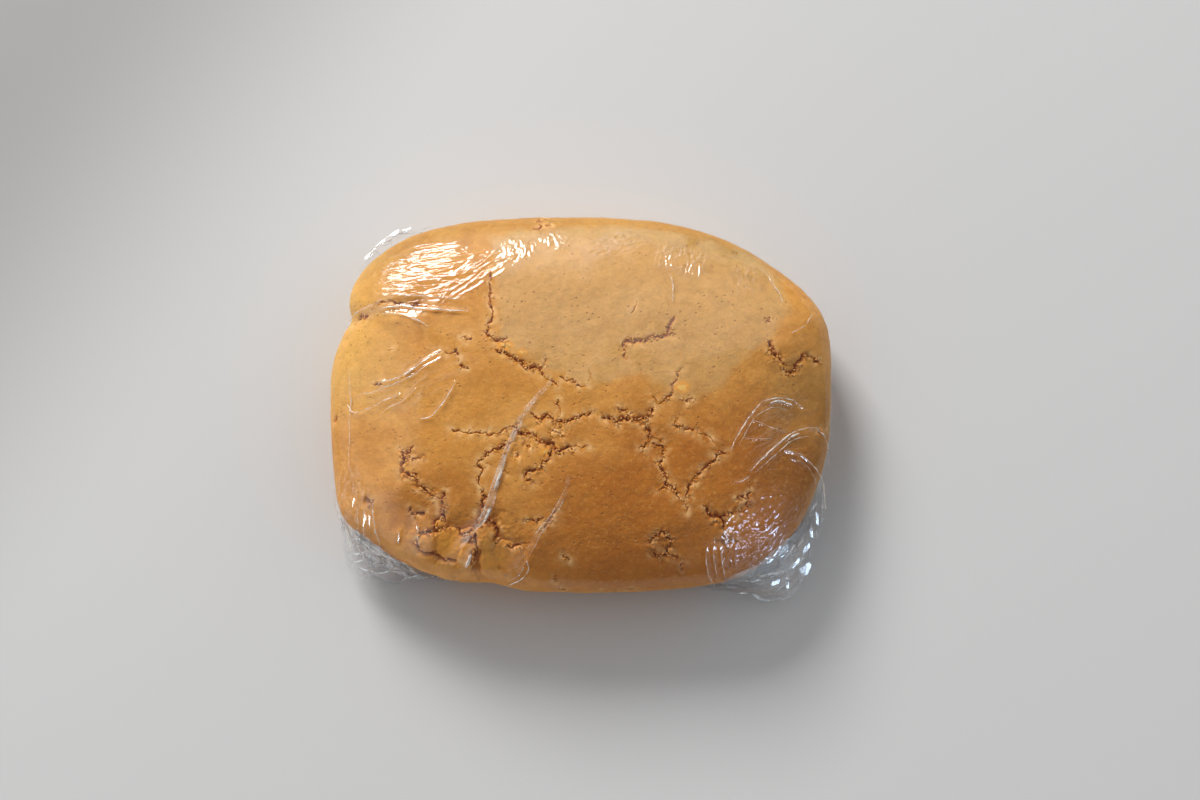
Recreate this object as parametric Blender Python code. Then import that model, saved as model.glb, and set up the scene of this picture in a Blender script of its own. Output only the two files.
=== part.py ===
"""A block of soybean-flour cookie dough, wrapped tight in clear film.

The dough is pressed by hand into a rounded oblong, so the wrapped block is one solid. Its top is a low
dome with soft shoulders, its base is flat, and its outline bulges and dents where the dough was folded.
The film follows the dough everywhere but at three lower corners, where it is gathered into crumpled
pockets, and it stands up in two long pleats. The cracks of the stiff dough are cut into the top.

Metres, +Z up. +X runs along the long side, -Y is the near long side, and the block rests on Z = 0.
"""

import math
import random

import bmesh
import bpy
from mathutils import Vector, noise

MM = 0.001

# The block's size
HALF_WIDTH = 58.1 * MM
HALF_DEPTH = 43.8 * MM
HEIGHT = 28.0 * MM
WIDEST_AT = 11.5 * MM
CORNER_POWER = 2.8
TOP_POWER = 2.8
FOOT_POWER = 3.0
FOOT_SHARE = 0.90

# How finely the surface is divided
CELLS_ALONG = 46
CELLS_ACROSS = 36
UPPER_ROWS = 5
LOWER_ROWS = 5

# Hand-pressed bulges and dents of the outline: direction in degrees, reach in mm, spread in degrees
OUTLINE_BUMPS = (
    (19, 2.0, 10),
    (37, -2.3, 25),
    (143, 1.8, 22),
    (162.5, -2.1, 6.5),
    (205.5, 1.9, 7),
    (244, -1.4, 6.5),
    (312, 1.0, 12),
    (338, -1.5, 14),
)

# Pockets of gathered film: direction in degrees, reach in mm, spread in degrees, height in mm
FILM_POCKETS = (
    (139, 4.0, 12, 16),
    (217, 8.5, 9, 17),
    (318, 10.5, 9, 18),
    (333, 3.5, 9, 18),
)
POCKET_FOOT = 4
FOOT_TUCK = 0.3
LOOSE_AT = 3 * MM
CRUMPLE_DEPTH = 1.5 * MM
CRUMPLE_SIZE = 5.5 * MM

# Folds of the dough, from the outline inwards: points, depth and half-width, all in mm
FOLDS = (
    (((-60, 19), (-48, 18.5), (-36, 21)), 1.3, 1.8),
    (((46, 33), (38, 33), (27, 35.5)), 1.1, 2.2),
    (((-36, -42), (-29, -33), (-25, -26)), 0.8, 2.4),
)

# Lumps of crumbly dough, and one dent: place, height and radius, all in mm
LUMPS = (
    ((-33, -31.5), 0.8, 3.2),
    ((-21.5, -32.5), 1.0, 3.4),
    ((-28, -25.5), 0.6, 3.0),
    ((-41, -22), 0.7, 4.2),
    ((-12.5, -35), 0.7, 4.0),
    ((20, -28), 0.4, 5.0),
    ((46, 10), 0.6, 5.0),
    ((49, -3), -1.0, 7.0),
)

# Slow unevenness of the pressed surface
WAVE_DEPTH = 0.35 * MM
WAVE_SIZE = 19 * MM

# Cracks in the dough: width and depth, then the points that each runs through, all in mm
CRACKS = (
    (1.0, 1.0, ((-20, 27), (-20.5, 21), (-20, 17), (-20.5, 13))),
    (0.9, 0.9, ((-20.5, 12.5), (-15, 8.5), (-10, 6.5), (-6, 2))),
    (0.7, 0.8, ((-32, 9.5), (-28, 10), (-25, 5.5))),
    (1.1, 1.0, ((20.5, 17.5), (19.5, 14), (11, 12.5), (9.5, 8))),
    (1.1, 1.0, ((-11, -4), (-4, -5.5), (2.5, -4))),
    (1.4, 1.2, ((4, -5), (9, -6), (16, -5), (18, -0.5))),
    (1.2, 1.2, ((-18, -8.5), (-12.5, -9), (-6, -10.5), (-2.5, -9.5))),
    (1.1, 1.1, ((-6, -10.5), (-6.5, -14.5), (-12.5, -19))),
    (1.1, 1.2, ((15.5, -5.5), (14.5, -8), (18, -12), (18, -17), (23.5, -23.5))),
    (1.0, 1.1, ((23.5, -23), (25, -19), (30, -13), (33, -12.5))),
    (1.3, 1.3, ((42, 12.5), (44, 8), (47, 4.5), (49.5, 9), (53.5, 8))),
    (1.2, 1.2, ((27, -24), (31, -27.5), (32, -32), (35, -33))),
    (1.0, 1.1, ((38, -19), (37.5, -24), (35, -22))),
    (1.2, 1.2, ((-40.5, -11), (-39, -16), (-36, -19.5), (-31, -23.5))),
    (1.4, 1.4, ((-38, -25.5), (-36.5, -28.5), (-30, -28.5), (-25, -29.5))),
    (1.6, 1.5, ((-22, -20), (-21, -24), (-24, -29.5), (-24.5, -35), (-24, -38.5))),
    (1.2, 1.3, ((-24, -29.5), (-21, -28.5), (-18.5, -32), (-14.5, -34.5))),
    (1.1, 1.1, ((15.5, -32), (18.5, -30.5), (20, -33.5), (16.5, -35.5))),
    (1.2, 1.1, ((-13, 40), (-9, 40.8), (-5, 41))),
    (0.8, 0.8, ((22, 6.5), (20.5, 1.5), (18, -0.5))),
    (0.8, 0.8, ((-12.5, -28.5), (-8, -28.5), (-5.5, -25))),
    (0.7, 0.8, ((21, -6.5), (24, -7.5), (28, -8.5))),
)
CRACK_STEP = 2.4 * MM
CRACK_WANDER = 0.45 * MM

# Pleats of the film: width and height, then the points that each runs through, all in mm
PLEATS = (
    (1.4, 0.6, ((-6.5, 2), (-13, -6.5), (-19, -16), (-23.5, -26), (-27, -34))),
    (1.2, 0.5, ((-3, -18), (-6, -27), (-11, -34), (-17, -39))),
    (0.9, 0.4, ((32.5, -13), (36, -7), (40.5, -1.5), (45, 0))),
    (0.9, 0.4, ((37.5, -16.5), (42, -12.5), (48, -7.5))),
    (0.8, 0.3, ((-46, 2.5), (-40, 4.5), (-32, 9))),
)
PLEAT_STEP = 3.2 * MM
PLEAT_WANDER = 0.25 * MM

# How far a crack's wedge stands out above the dough, or a pleat's reaches down into it
WEDGE_BACKING = 0.6 * MM

SEED = 11


def bell(offset, spread):
    """1 at no offset, falling smoothly to nothing within about twice the spread."""
    return math.exp(-((offset / spread) ** 2))


def turn_between(angle, direction):
    """Degrees from a direction in degrees to an angle in radians, from -180 to 180."""
    return (math.degrees(angle) - direction + 180) % 360 - 180


def outline_radius(angle):
    """Distance from the middle to the dough's widest line: a rounded oblong, bulged and dented."""
    across = abs(math.cos(angle)) / HALF_WIDTH
    along = abs(math.sin(angle)) / HALF_DEPTH
    radius = (across**CORNER_POWER + along**CORNER_POWER) ** (-1 / CORNER_POWER)
    for direction, reach, spread in OUTLINE_BUMPS:
        radius += reach * MM * bell(turn_between(angle, direction), spread)
    return radius


def pocket_reach(angle, height):
    """How far the gathered film stands out from the dough at a direction and a height.

    It is fullest just above the base, where it is tucked in a little under the block.
    """
    reach = 0.0
    for direction, out, spread, top in FILM_POCKETS:
        climb = (height / MM - POCKET_FOOT) / (top - POCKET_FOOT)
        fullness = 1 - max(0.0, min(1.0, climb)) - FOOT_TUCK * max(0.0, 1 - height / MM / POCKET_FOOT) ** 2
        reach += out * MM * bell(turn_between(angle, direction), spread) * fullness
    return reach


def distance_to_path(place, path):
    """Distance in the plane from a place to a path of points in mm."""
    nearest = math.inf
    for start, end in zip(path, path[1:]):
        a, b = Vector(start) * MM, Vector(end) * MM
        share = max(0.0, min(1.0, (place - a).dot(b - a) / (b - a).length_squared))
        nearest = min(nearest, (place - a.lerp(b, share)).length)
    return nearest


def relief(x, y):
    """Height added to the smooth dome by folds, lumps and the slow waves of a hand-pressed surface."""
    place = Vector((x, y))
    height = WAVE_DEPTH * noise.noise(Vector((x, y, 0)) / WAVE_SIZE)
    for path, depth, half_width in FOLDS:
        height -= depth * MM * bell(distance_to_path(place, path), half_width * MM)
    for centre, rise, radius in LUMPS:
        height += rise * MM * bell((place - Vector(centre) * MM).length, radius * MM)
    return height


def dome_height(share):
    """Height of the smooth top where a share of the way from the middle to the outline is given."""
    return WIDEST_AT + (HEIGHT - WIDEST_AT) * (1 - share**TOP_POWER) ** (1 / TOP_POWER)


def surface_height(x, y):
    """Height of the top at a place well inside the outline."""
    share = math.hypot(x, y) / outline_radius(math.atan2(y, x))
    return dome_height(min(share, 1.0)) + relief(x, y)


def upper_point(angle, spread, climb):
    """A point of the upper half, from the cube it is rounded from: out by spread, up by climb."""
    size = (spread**TOP_POWER + climb**TOP_POWER) ** (1 / TOP_POWER)
    reach = outline_radius(angle) * spread / size
    height = WIDEST_AT + (HEIGHT - WIDEST_AT) * climb / size
    x, y = reach * math.cos(angle), reach * math.sin(angle)
    height += relief(x, y) * climb / size
    return side_point(angle, reach, height)


def lower_point(angle, depth):
    """A point of the side below the widest line, from 0 there to depth 1 at the base.

    The foot draws in under the dough, but not where loose film hangs down straight in front of it.
    """
    height = WIDEST_AT * (1 - depth)
    shrink = (1 - (1 - FOOT_SHARE**FOOT_POWER) * depth**FOOT_POWER) ** (1 / FOOT_POWER)
    loose = min(1.0, pocket_reach(angle, height) / LOOSE_AT)
    return side_point(angle, outline_radius(angle) * (shrink + (1 - shrink) * loose), height)


def side_point(angle, reach, height):
    """A point moved out by the film pocket that hangs there, with the pocket's crumples."""
    pocket = pocket_reach(angle, height)
    direction = Vector((math.cos(angle), math.sin(angle), 0))
    point = direction * reach + Vector((0, 0, height))
    crumple = CRUMPLE_DEPTH * min(1.0, pocket / LOOSE_AT) * noise.noise(point / CRUMPLE_SIZE)
    return point + direction * (pocket + crumple)


def wrapped_block():
    """A grid pressed into the domed top, its rim drawn down in rows to the base, and the base closed."""
    bm = bmesh.new()
    bmesh.ops.create_grid(bm, x_segments=CELLS_ALONG, y_segments=CELLS_ACROSS, size=1.0)
    rim = [edge for edge in bm.edges if edge.is_boundary]
    for vert in bm.verts:
        across, along = vert.co.x, vert.co.y
        angle = math.atan2(along * HALF_DEPTH, across * HALF_WIDTH)
        vert.co = upper_point(angle, max(abs(across), abs(along)), 1.0)

    rows = [("upper", 1 - row / UPPER_ROWS) for row in range(1, UPPER_ROWS + 1)]
    rows += [("lower", row / LOWER_ROWS) for row in range(1, LOWER_ROWS + 1)]
    for half, step in rows:
        drawn = bmesh.ops.extrude_edge_only(bm, edges=rim)["geom"]
        rim = [item for item in drawn if isinstance(item, bmesh.types.BMEdge)]
        for vert in (item for item in drawn if isinstance(item, bmesh.types.BMVert)):
            angle = math.atan2(vert.co.y, vert.co.x)
            vert.co = upper_point(angle, 1.0, step) if half == "upper" else lower_point(angle, step)

    bmesh.ops.contextual_create(bm, geom=rim)
    bmesh.ops.recalc_face_normals(bm, faces=bm.faces)
    return mesh_object("dough_in_film", bm)


def wandering_path(path, step, wander, rng):
    """The path cut into short steps, each inner point moved a little aside."""
    points = []
    for start, end in zip(path, path[1:]):
        a, b = Vector(start) * MM, Vector(end) * MM
        count = max(1, round((b - a).length / step))
        points += [a.lerp(b, index / count) for index in range(count)]
    points.append(Vector(path[-1]) * MM)
    for point in points[1:-1]:
        point += Vector((rng.uniform(-wander, wander), rng.uniform(-wander, wander)))
    return points


def wedge(name, points, width, reach):
    """A closed three-sided wedge along the surface, tapered at both ends, its edge pointing to reach.

    A reach above 0 makes a ridge that stands on the surface, and one below 0 a cutter for a crack.
    """
    bm = bmesh.new()
    back = -math.copysign(WEDGE_BACKING, reach)
    sections = []
    for index in range(1, len(points) - 1):
        point = points[index]
        along = (points[index + 1] - points[index - 1]).normalized()
        aside = Vector((-along.y, along.x))
        taper = math.sin(math.pi * index / (len(points) - 1)) ** 0.5
        half = width / 2 * taper * (1 + WEDGE_BACKING / (abs(reach) * taper))
        level = surface_height(point.x, point.y)
        corners = [(point + aside * half, back), (point - aside * half, back), (point, reach * taper)]
        sections.append([bm.verts.new((place.x, place.y, level + up)) for place, up in corners])
    for here, there in zip(sections, sections[1:]):
        for corner in range(3):
            following = (corner + 1) % 3
            bm.faces.new((here[corner], here[following], there[following], there[corner]))
    for end, section in ((points[0], sections[0]), (points[-1], sections[-1])):
        tip = bm.verts.new((end.x, end.y, surface_height(end.x, end.y) + back / 2))
        for corner in range(3):
            bm.faces.new((section[corner], section[(corner + 1) % 3], tip))
    bmesh.ops.recalc_face_normals(bm, faces=bm.faces)
    return mesh_object(name, bm)


def mesh_object(name, bm):
    """An object made of what was modelled, in the scene."""
    mesh = bpy.data.meshes.new(name)
    bm.to_mesh(mesh)
    bm.free()
    made = bpy.data.objects.new(name, mesh)
    bpy.context.scene.collection.objects.link(made)
    return made


def combine(block, pieces, operation):
    """Joins the pieces to the block, or cuts them out of it, all at once, and removes them."""
    group = bpy.data.collections.new(operation.lower())
    bpy.context.scene.collection.children.link(group)
    for piece in pieces:
        bpy.context.scene.collection.objects.unlink(piece)
        group.objects.link(piece)
    boolean = block.modifiers.new(operation.lower(), "BOOLEAN")
    boolean.operation = operation
    boolean.operand_type = "COLLECTION"
    boolean.collection = group
    boolean.solver = "EXACT"
    boolean.use_self = True

    whole = bpy.data.meshes.new_from_object(block.evaluated_get(bpy.context.evaluated_depsgraph_get()))
    block.modifiers.remove(boolean)
    block.data = whole
    for piece in pieces:
        bpy.data.objects.remove(piece)
    bpy.data.collections.remove(group)


def wrapped_dough_material():
    """Tan soybean-flour dough seen through smooth film."""
    material = bpy.data.materials.new("dough under film")
    material.use_nodes = True
    shader = material.node_tree.nodes["Principled BSDF"]
    shader.inputs["Base Color"].default_value = (0.52, 0.29, 0.11, 1.0)
    shader.inputs["Roughness"].default_value = 0.35
    shader.inputs["Metallic"].default_value = 0.0
    shader.inputs["Coat Weight"].default_value = 0.6
    shader.inputs["Coat Roughness"].default_value = 0.08
    return material


for old in list(bpy.data.objects):
    bpy.data.objects.remove(old)

rng = random.Random(SEED)
block = wrapped_block()

ridges = [
    wedge(f"pleat_{number}", wandering_path(path, PLEAT_STEP, PLEAT_WANDER, rng), wide * MM, rise * MM)
    for number, (wide, rise, path) in enumerate(PLEATS)
]
combine(block, ridges, "UNION")

cutters = [
    wedge(f"crack_{number}", wandering_path(path, CRACK_STEP, CRACK_WANDER, rng), wide * MM, -deep * MM)
    for number, (wide, deep, path) in enumerate(CRACKS)
]
combine(block, cutters, "DIFFERENCE")

# The origin is under the middle of the block's own box
corners = [Vector(corner) for corner in block.bound_box]
for axis in range(2):
    block.location[axis] = -(min(c[axis] for c in corners) + max(c[axis] for c in corners)) / 2

block.data.materials.clear()
block.data.materials.append(wrapped_dough_material())
block.data.shade_smooth()
block.data.set_sharp_from_angle(angle=math.radians(40))
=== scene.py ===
"""A block of soybean-flour cookie dough, wrapped tight in clear film, seen from above on a pale counter.

The stiff tan dough is pressed by hand into a rounded oblong. Its top is cracked, and the near left part of it
is crumbly. Clear film is drawn tight over it. It bridges the cracks, lies in fans of fine wrinkles where it
was pulled, stands up in long pleats, and is gathered in crumpled pockets at three of the lower corners.

Metres, +Z up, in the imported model's frame.
"""

import math
import random

import bmesh
import bpy
import numpy as np
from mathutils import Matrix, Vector, kdtree, noise
from mathutils.bvhtree import BVHTree
from mathutils.geometry import delaunay_2d_cdt


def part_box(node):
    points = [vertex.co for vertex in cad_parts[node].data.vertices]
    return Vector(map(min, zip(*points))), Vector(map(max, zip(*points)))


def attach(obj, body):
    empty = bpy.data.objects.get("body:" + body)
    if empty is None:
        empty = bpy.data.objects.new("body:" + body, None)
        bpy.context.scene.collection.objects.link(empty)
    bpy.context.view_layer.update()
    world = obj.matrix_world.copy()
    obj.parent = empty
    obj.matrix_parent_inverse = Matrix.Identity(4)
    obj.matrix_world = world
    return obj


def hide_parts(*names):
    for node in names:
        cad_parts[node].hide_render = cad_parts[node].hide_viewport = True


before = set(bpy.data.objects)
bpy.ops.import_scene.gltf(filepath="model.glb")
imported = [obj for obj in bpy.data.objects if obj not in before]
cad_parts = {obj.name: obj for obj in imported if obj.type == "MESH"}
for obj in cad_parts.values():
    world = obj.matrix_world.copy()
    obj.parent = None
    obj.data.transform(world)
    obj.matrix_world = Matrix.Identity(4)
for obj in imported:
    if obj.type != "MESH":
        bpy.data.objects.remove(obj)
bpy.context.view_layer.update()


# THE DOUGH
# One lump of stiff, floury dough, pressed into a rounded oblong by hand through the film. It split as it was
# folded, so cracks run over its top and a few over its sides, and crumbs stand between them.

MM = 0.001
DOUGH_NODE = "dough_in_film"

HALF_WIDTH = 58.1 * MM
HALF_DEPTH = 43.8 * MM
HEIGHT = 28.0 * MM
WIDEST_AT = 11.5 * MM
CORNER_POWER = 2.8
TOP_POWER = 2.8
FOOT_POWER = 3.0
FOOT_SHARE = 0.90

# Hand-pressed bulges and dents of the outline: direction in degrees, reach in mm, spread in degrees
OUTLINE_BUMPS = (
    (19, 2.0, 10),
    (37, -2.3, 25),
    (143, 1.8, 22),
    (162.5, -2.1, 6.5),
    (160.6, -1.2, 2.2),
    (205.5, 1.9, 7),
    (244, -1.4, 6.5),
    (312, 1.0, 12),
    (338, -1.5, 14),
)

# Folds of the dough, from the outline inwards: points, depth and half-width, all in mm
FOLDS = (
    (((-60, 19), (-48, 18.5), (-36, 21)), 0.9, 1.8),
    (((46, 33), (38, 33), (27, 35.5)), 1.1, 2.2),
    (((-36, -42), (-29, -33), (-25, -26)), 0.4, 2.4),
)

# Lumps of crumbly dough, and one dent: place, height and radius, all in mm
LUMPS = (
    ((-33, -31.5), 0.8, 3.2),
    ((-21.5, -32.5), 1.0, 3.4),
    ((-28, -25.5), 0.6, 3.0),
    ((-41, -22), 0.7, 4.2),
    ((-12.5, -35), 0.7, 4.0),
    ((20, -28), 0.4, 5.0),
    ((46, 10), 0.6, 5.0),
    ((49, -3), -1.0, 7.0),
    ((52, -12), -2.5, 15.0),
    ((-46, 21), 0.9, 10.0),
)

WAVE_DEPTH = 0.35 * MM
WAVE_SIZE = 19 * MM

# The film's thickness and the air under it, where it lies on the dough
FILM_GAP = 0.3 * MM

# How the surface is divided: cells of the grid on top, and rows down the side to the base
DOUGH_CELLS = (120, 92)
DOUGH_ROWS = (16, 8)

# Cracks of the top: half-width, then the points that each runs through, all in mm
TOP_CRACKS = {
    "fold": (0.30, (
        (-52.5, 17.5), (-51, 18.5), (-49, 18.5), (-45, 21.5), (-42, 21), (-38, 20.5), (-34, 20.5),
    )),
    "upper_left": (0.24, (
        (-20.5, 28.5), (-20.5, 24), (-20, 20), (-20, 17.5), (-21, 15), (-21, 13), (-19, 12),
        (-16.5, 12.5),
    )),
    "centre_left": (0.25, (
        (-19.5, 10), (-17, 9.5), (-15, 8), (-13, 6.5), (-10.5, 6), (-9, 5), (-7, 3), (-5, 1.5),
    )),
    "centre_left_up": (0.15, ((-9, 5), (-8, 8))),
    "centre_right": (0.16, ((-5, 4), (-2.5, 3), (1.5, 1.5))),
    "left_arc": (0.24, ((-33, 9.5), (-30, 9.5), (-29, 9), (-28, 10), (-27, 7), (-25, 5.5))),
    "left_arc_upper": (0.15, ((-27, 13), (-24.5, 12.5), (-26, 11.5))),
    "left_pit": (0.24, ((-47, 2.5), (-46, 3), (-44.5, 2.5))),
    "left_high": (0.15, ((-42, 10.5), (-43.5, 10))),
    "upper_step": (0.36, (
        (21, 17.5), (19.5, 15.5), (19.5, 13.5), (16, 13), (14.5, 12), (10, 12), (9.5, 10),
        (10, 7.5),
    )),
    "upper_step_end": (0.18, ((19.5, 13.5), (21, 13.5))),
    "upper_faint": (0.17, ((12.5, 21.5), (11.5, 19), (10.5, 18))),
    "middle_tick": (0.18, ((1.5, 5.5), (2, 3))),
    "middle_upper": (0.26, (
        (-11.5, -4), (-9, -5.5), (-7.5, -5), (-5.5, -6), (-4, -6), (-0.5, -5.5), (2.5, -4),
    )),
    "middle_rise": (0.15, ((-5, -1), (-5.5, -2.5), (-4.5, -5))),
    "middle_lower": (0.33, (
        (-15.5, -9), (-14, -8.5), (-11.5, -9), (-9.5, -9.5), (-9, -11), (-6.5, -11), (-5, -12.5),
        (-2, -12),
    )),
    "middle_lower_end": (0.15, ((-2, -12), (2, -12))),
    "middle_right": (0.42, (
        (4.5, -5.5), (6.5, -5.5), (8.5, -6), (10, -5.5), (12.5, -6), (15, -5), (16.5, -3),
    )),
    "middle_right_tick": (0.24, ((8, -3), (10, -4.5), (11, -5.5))),
    "fine_right": (0.17, ((22.5, 6.5), (20.5, 2), (19.5, -0.5), (17, -2), (15.5, -0.5))),
    "star": (0.20, ((23, 0), (23.5, -2), (25, -1))),
    "lower_left_line": (0.17, (
        (-29, -7.5), (-27, -8.5), (-23.5, -9), (-20, -9), (-18, -8.5), (-13.5, -6.5),
    )),
    "lower_left_step": (0.24, (
        (-15.5, -11), (-18, -12), (-20.5, -13), (-22.5, -15.5), (-22, -17.5), (-23, -19.5),
        (-21.5, -21),
    )),
    "by_pleat_tick": (0.20, ((-18.5, -17.5), (-16.5, -17.5))),
    "branch": (0.28, (
        (-6.5, -12), (-6.5, -14), (-8.5, -15), (-9, -17), (-11.5, -17.5), (-12.5, -18.5),
        (-10.5, -20),
    )),
    "crumb_tick": (0.22, ((-12.5, -11), (-11, -12))),
    "crumb_dot": (0.22, ((-14.5, -13), (-14, -14.5))),
    "crumb_rise": (0.20, ((-6, -7.5), (-4, -9.5))),
    "vee_left": (0.27, (
        (14, -7), (15.5, -9), (15, -10.5), (18, -11.5), (18, -16.5), (19, -20), (21, -22),
        (22, -23.5), (23.5, -23.5),
    )),
    "vee_left_spur": (0.18, ((13, -12), (15, -11))),
    "vee_left_foot": (0.17, ((17, -21.5), (19.5, -20.5))),
    "vee_right": (0.27, (
        (23.5, -23.5), (24, -20.5), (25, -18.5), (26, -18), (28.5, -15.5), (30, -14.5), (30, -13),
        (32.5, -13),
    )),
    "vee_down": (0.16, ((23, -24.5), (23.5, -26.5))),
    "right_middle": (0.24, ((20.5, -7), (21.5, -7), (23, -8), (24, -8), (25.5, -8))),
    "right_middle_end": (0.15, ((25.5, -8), (28, -9.5), (30, -11))),
    "right_low": (0.34, ((27, -24.5), (29, -27), (32, -27), (31.5, -29.5), (32, -33), (35, -32.5))),
    "right_low_thin": (0.15, ((32, -27), (35.5, -26))),
    "right_small": (0.25, ((38, -19.5), (37, -24.5), (36, -22.5), (34.5, -23))),
    "right_spot": (0.32, ((41, 18), (42.5, 17), (43, 18.5))),
    "right_upper": (0.40, (
        (42, 12.5), (43, 10), (44.5, 8.5), (46, 6), (47.5, 5), (49, 7.5), (50, 9.5), (53, 9),
        (54.5, 8),
    )),
    "ring": (0.30, ((15.5, -32.5), (18, -31), (20, -32.5), (19, -35.5), (16.5, -36), (16, -34.5))),
    "front_right": (0.22, ((19, -35.5), (21, -36.5), (22.5, -38.5), (22, -40))),
    "front_small": (0.18, ((-4.5, -35.5), (-3, -36.5), (-2.5, -37.5))),
    "left_low": (0.30, (
        (-40.5, -12), (-39.5, -14), (-40, -15.5), (-40, -17.5), (-37, -18), (-36, -20),
        (-34.5, -21.5), (-31, -23.5),
    )),
    "left_low_end": (0.36, ((-31, -23.5), (-31, -27), (-30, -29))),
    "left_low_fork": (0.24, ((-39.5, -14), (-37.5, -11.5))),
    "left_low_arm": (0.20, ((-39.5, -14), (-35, -14))),
    "left_low_tick": (0.30, ((-31, -23.5), (-30, -21.5))),
    "left_tick": (0.28, ((-48.5, -22.5), (-47.5, -25), (-46.5, -23))),
    "crumb_upper": (0.36, ((-38, -25), (-37.5, -26.5), (-35.5, -26.5), (-34.5, -26))),
    "crumb_across": (0.42, ((-36, -30.5), (-33, -30.5), (-31, -30), (-29, -29.5))),
    "crumb_round": (0.42, (
        (-27.5, -30), (-26.5, -31), (-24.5, -30.5), (-22, -28.5), (-20.5, -28), (-18.5, -30.5),
        (-19, -33.5),
    )),
    "crumb_end": (0.34, ((-19, -33.5), (-18, -33), (-16, -34), (-13.5, -33.5))),
    "crumb_down": (0.55, ((-23.5, -31), (-24, -33), (-23.5, -35), (-24.5, -38))),
    "front_left": (0.40, (
        (-36.5, -32), (-37, -34.5), (-34.5, -35.5), (-32.5, -36.5), (-29.5, -37), (-27.5, -37),
    )),
    "middle_low": (0.28, ((-21.5, -21), (-21.5, -23.5), (-22, -25.5), (-22.5, -28.5))),
    "by_pleat": (0.22, ((-12, -28), (-9, -28), (-7.5, -28.5), (-6.5, -27), (-5.5, -25.5))),
    "by_pleat_down": (0.20, ((-7.5, -28.5), (-9, -30.5))),
    "back_edge": (0.50, ((-11, 39), (-9.5, 39.5), (-7, 40.5))),
}

# Cracks of the sides: half-width in mm, then direction in degrees and height in mm of each point
SIDE_CRACKS = {
    "front": (0.40, ((262, 21), (265, 15), (261, 10), (264, 5))),
    "front_across": (0.30, ((287, 17), (281, 15), (276, 16))),
    "right": (0.38, ((352, 20), (355, 14), (350, 9))),
    "right_across": (0.30, ((8, 12), (2, 14), (355, 14))),
    "back": (0.38, ((104, 20), (100, 14), (103, 8))),
    "back_across": (0.32, ((82, 15), (74, 12), (66, 13))),
    "left": (0.38, ((184, 19), (188, 13), (185, 7))),
    "left_across": (0.28, ((176, 12), (170, 11), (165, 13))),
}

CRACK_STEP = 0.13 * MM
CRACK_WANDER = 0.50 * MM
CRACK_CORNERS = 1.0 * MM
CRACK_WIDTH_SHARE = 0.88
CRACK_NARROWEST = 0.08
CRACK_SHALLOWEST = 0.34 * MM
CRACK_STEEPNESS = 2.3
CRACK_WARP = 0.07 * MM
SPUR_EVERY = 4.2 * MM
SPUR_LENGTH = (0.5 * MM, 1.6 * MM)

# The raised lips of a crack, the painted shade inside it, and how much shallower it is under the loose film
LIP_REACH = 0.6 * MM
LIP_SHARE = 0.30
DARK_REACH = 1.2
DARK_DEPTH = 0.62 * MM
DRY_SHALLOWER = 0.45

# How near a crack, in mm, the dough's mesh is divided, one time after another, and whether the lumps are too
REFINED_NEAR = ((1.3, True), (0.8, True), (0.34, False))

# Marks of the hands: depth and size in mm
KNEAD_MARKS = ((0.16, 7), (0.09, 2.2))

# Crumbly places: middle, reach along and across, size and height of a crumb, and how far they spread
# from the nearest crack, all in mm
CRUMBLY = (
    ((-10, -12), (13, 9.0), 1.3, 0.34, 1.5),
    ((10, -5.5), (12, 5.0), 1.0, 0.28, 1.2),
    ((47.5, 9), (9, 7.0), 1.4, 0.34, 1.5),
    ((32, -29), (7, 8.0), 1.3, 0.32, 1.4),
    ((18, -33), (7, 6.0), 1.2, 0.32, 1.4),
    ((-14, 9), (10, 7.0), 1.1, 0.28, 1.2),
    ((-38, -17), (9, 9.0), 1.3, 0.32, 1.4),
    ((15, 12), (10, 6.0), 1.1, 0.16, 0.8),
    ((19, -14), (12, 14), 1.0, 0.24, 1.0),
    ((-9, -28), (6, 5), 1.2, 0.20, 1.0),
)

# The near left corner, which fell into lumps: its middle and reach, and its crumbs' size and depth, in mm
LUMPY_MIDDLE = (-26.5, -33.0)
LUMPY_REACH = (15.5, 8.6)
LUMPY_CRUMB = 1.3
LUMPY_DEPTH = 0.90
LUMP_ROUNDNESS = 0.36
LUMP_FLATNESS = 2.8
LUMP_SQUARENESS = 2.5

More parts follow.
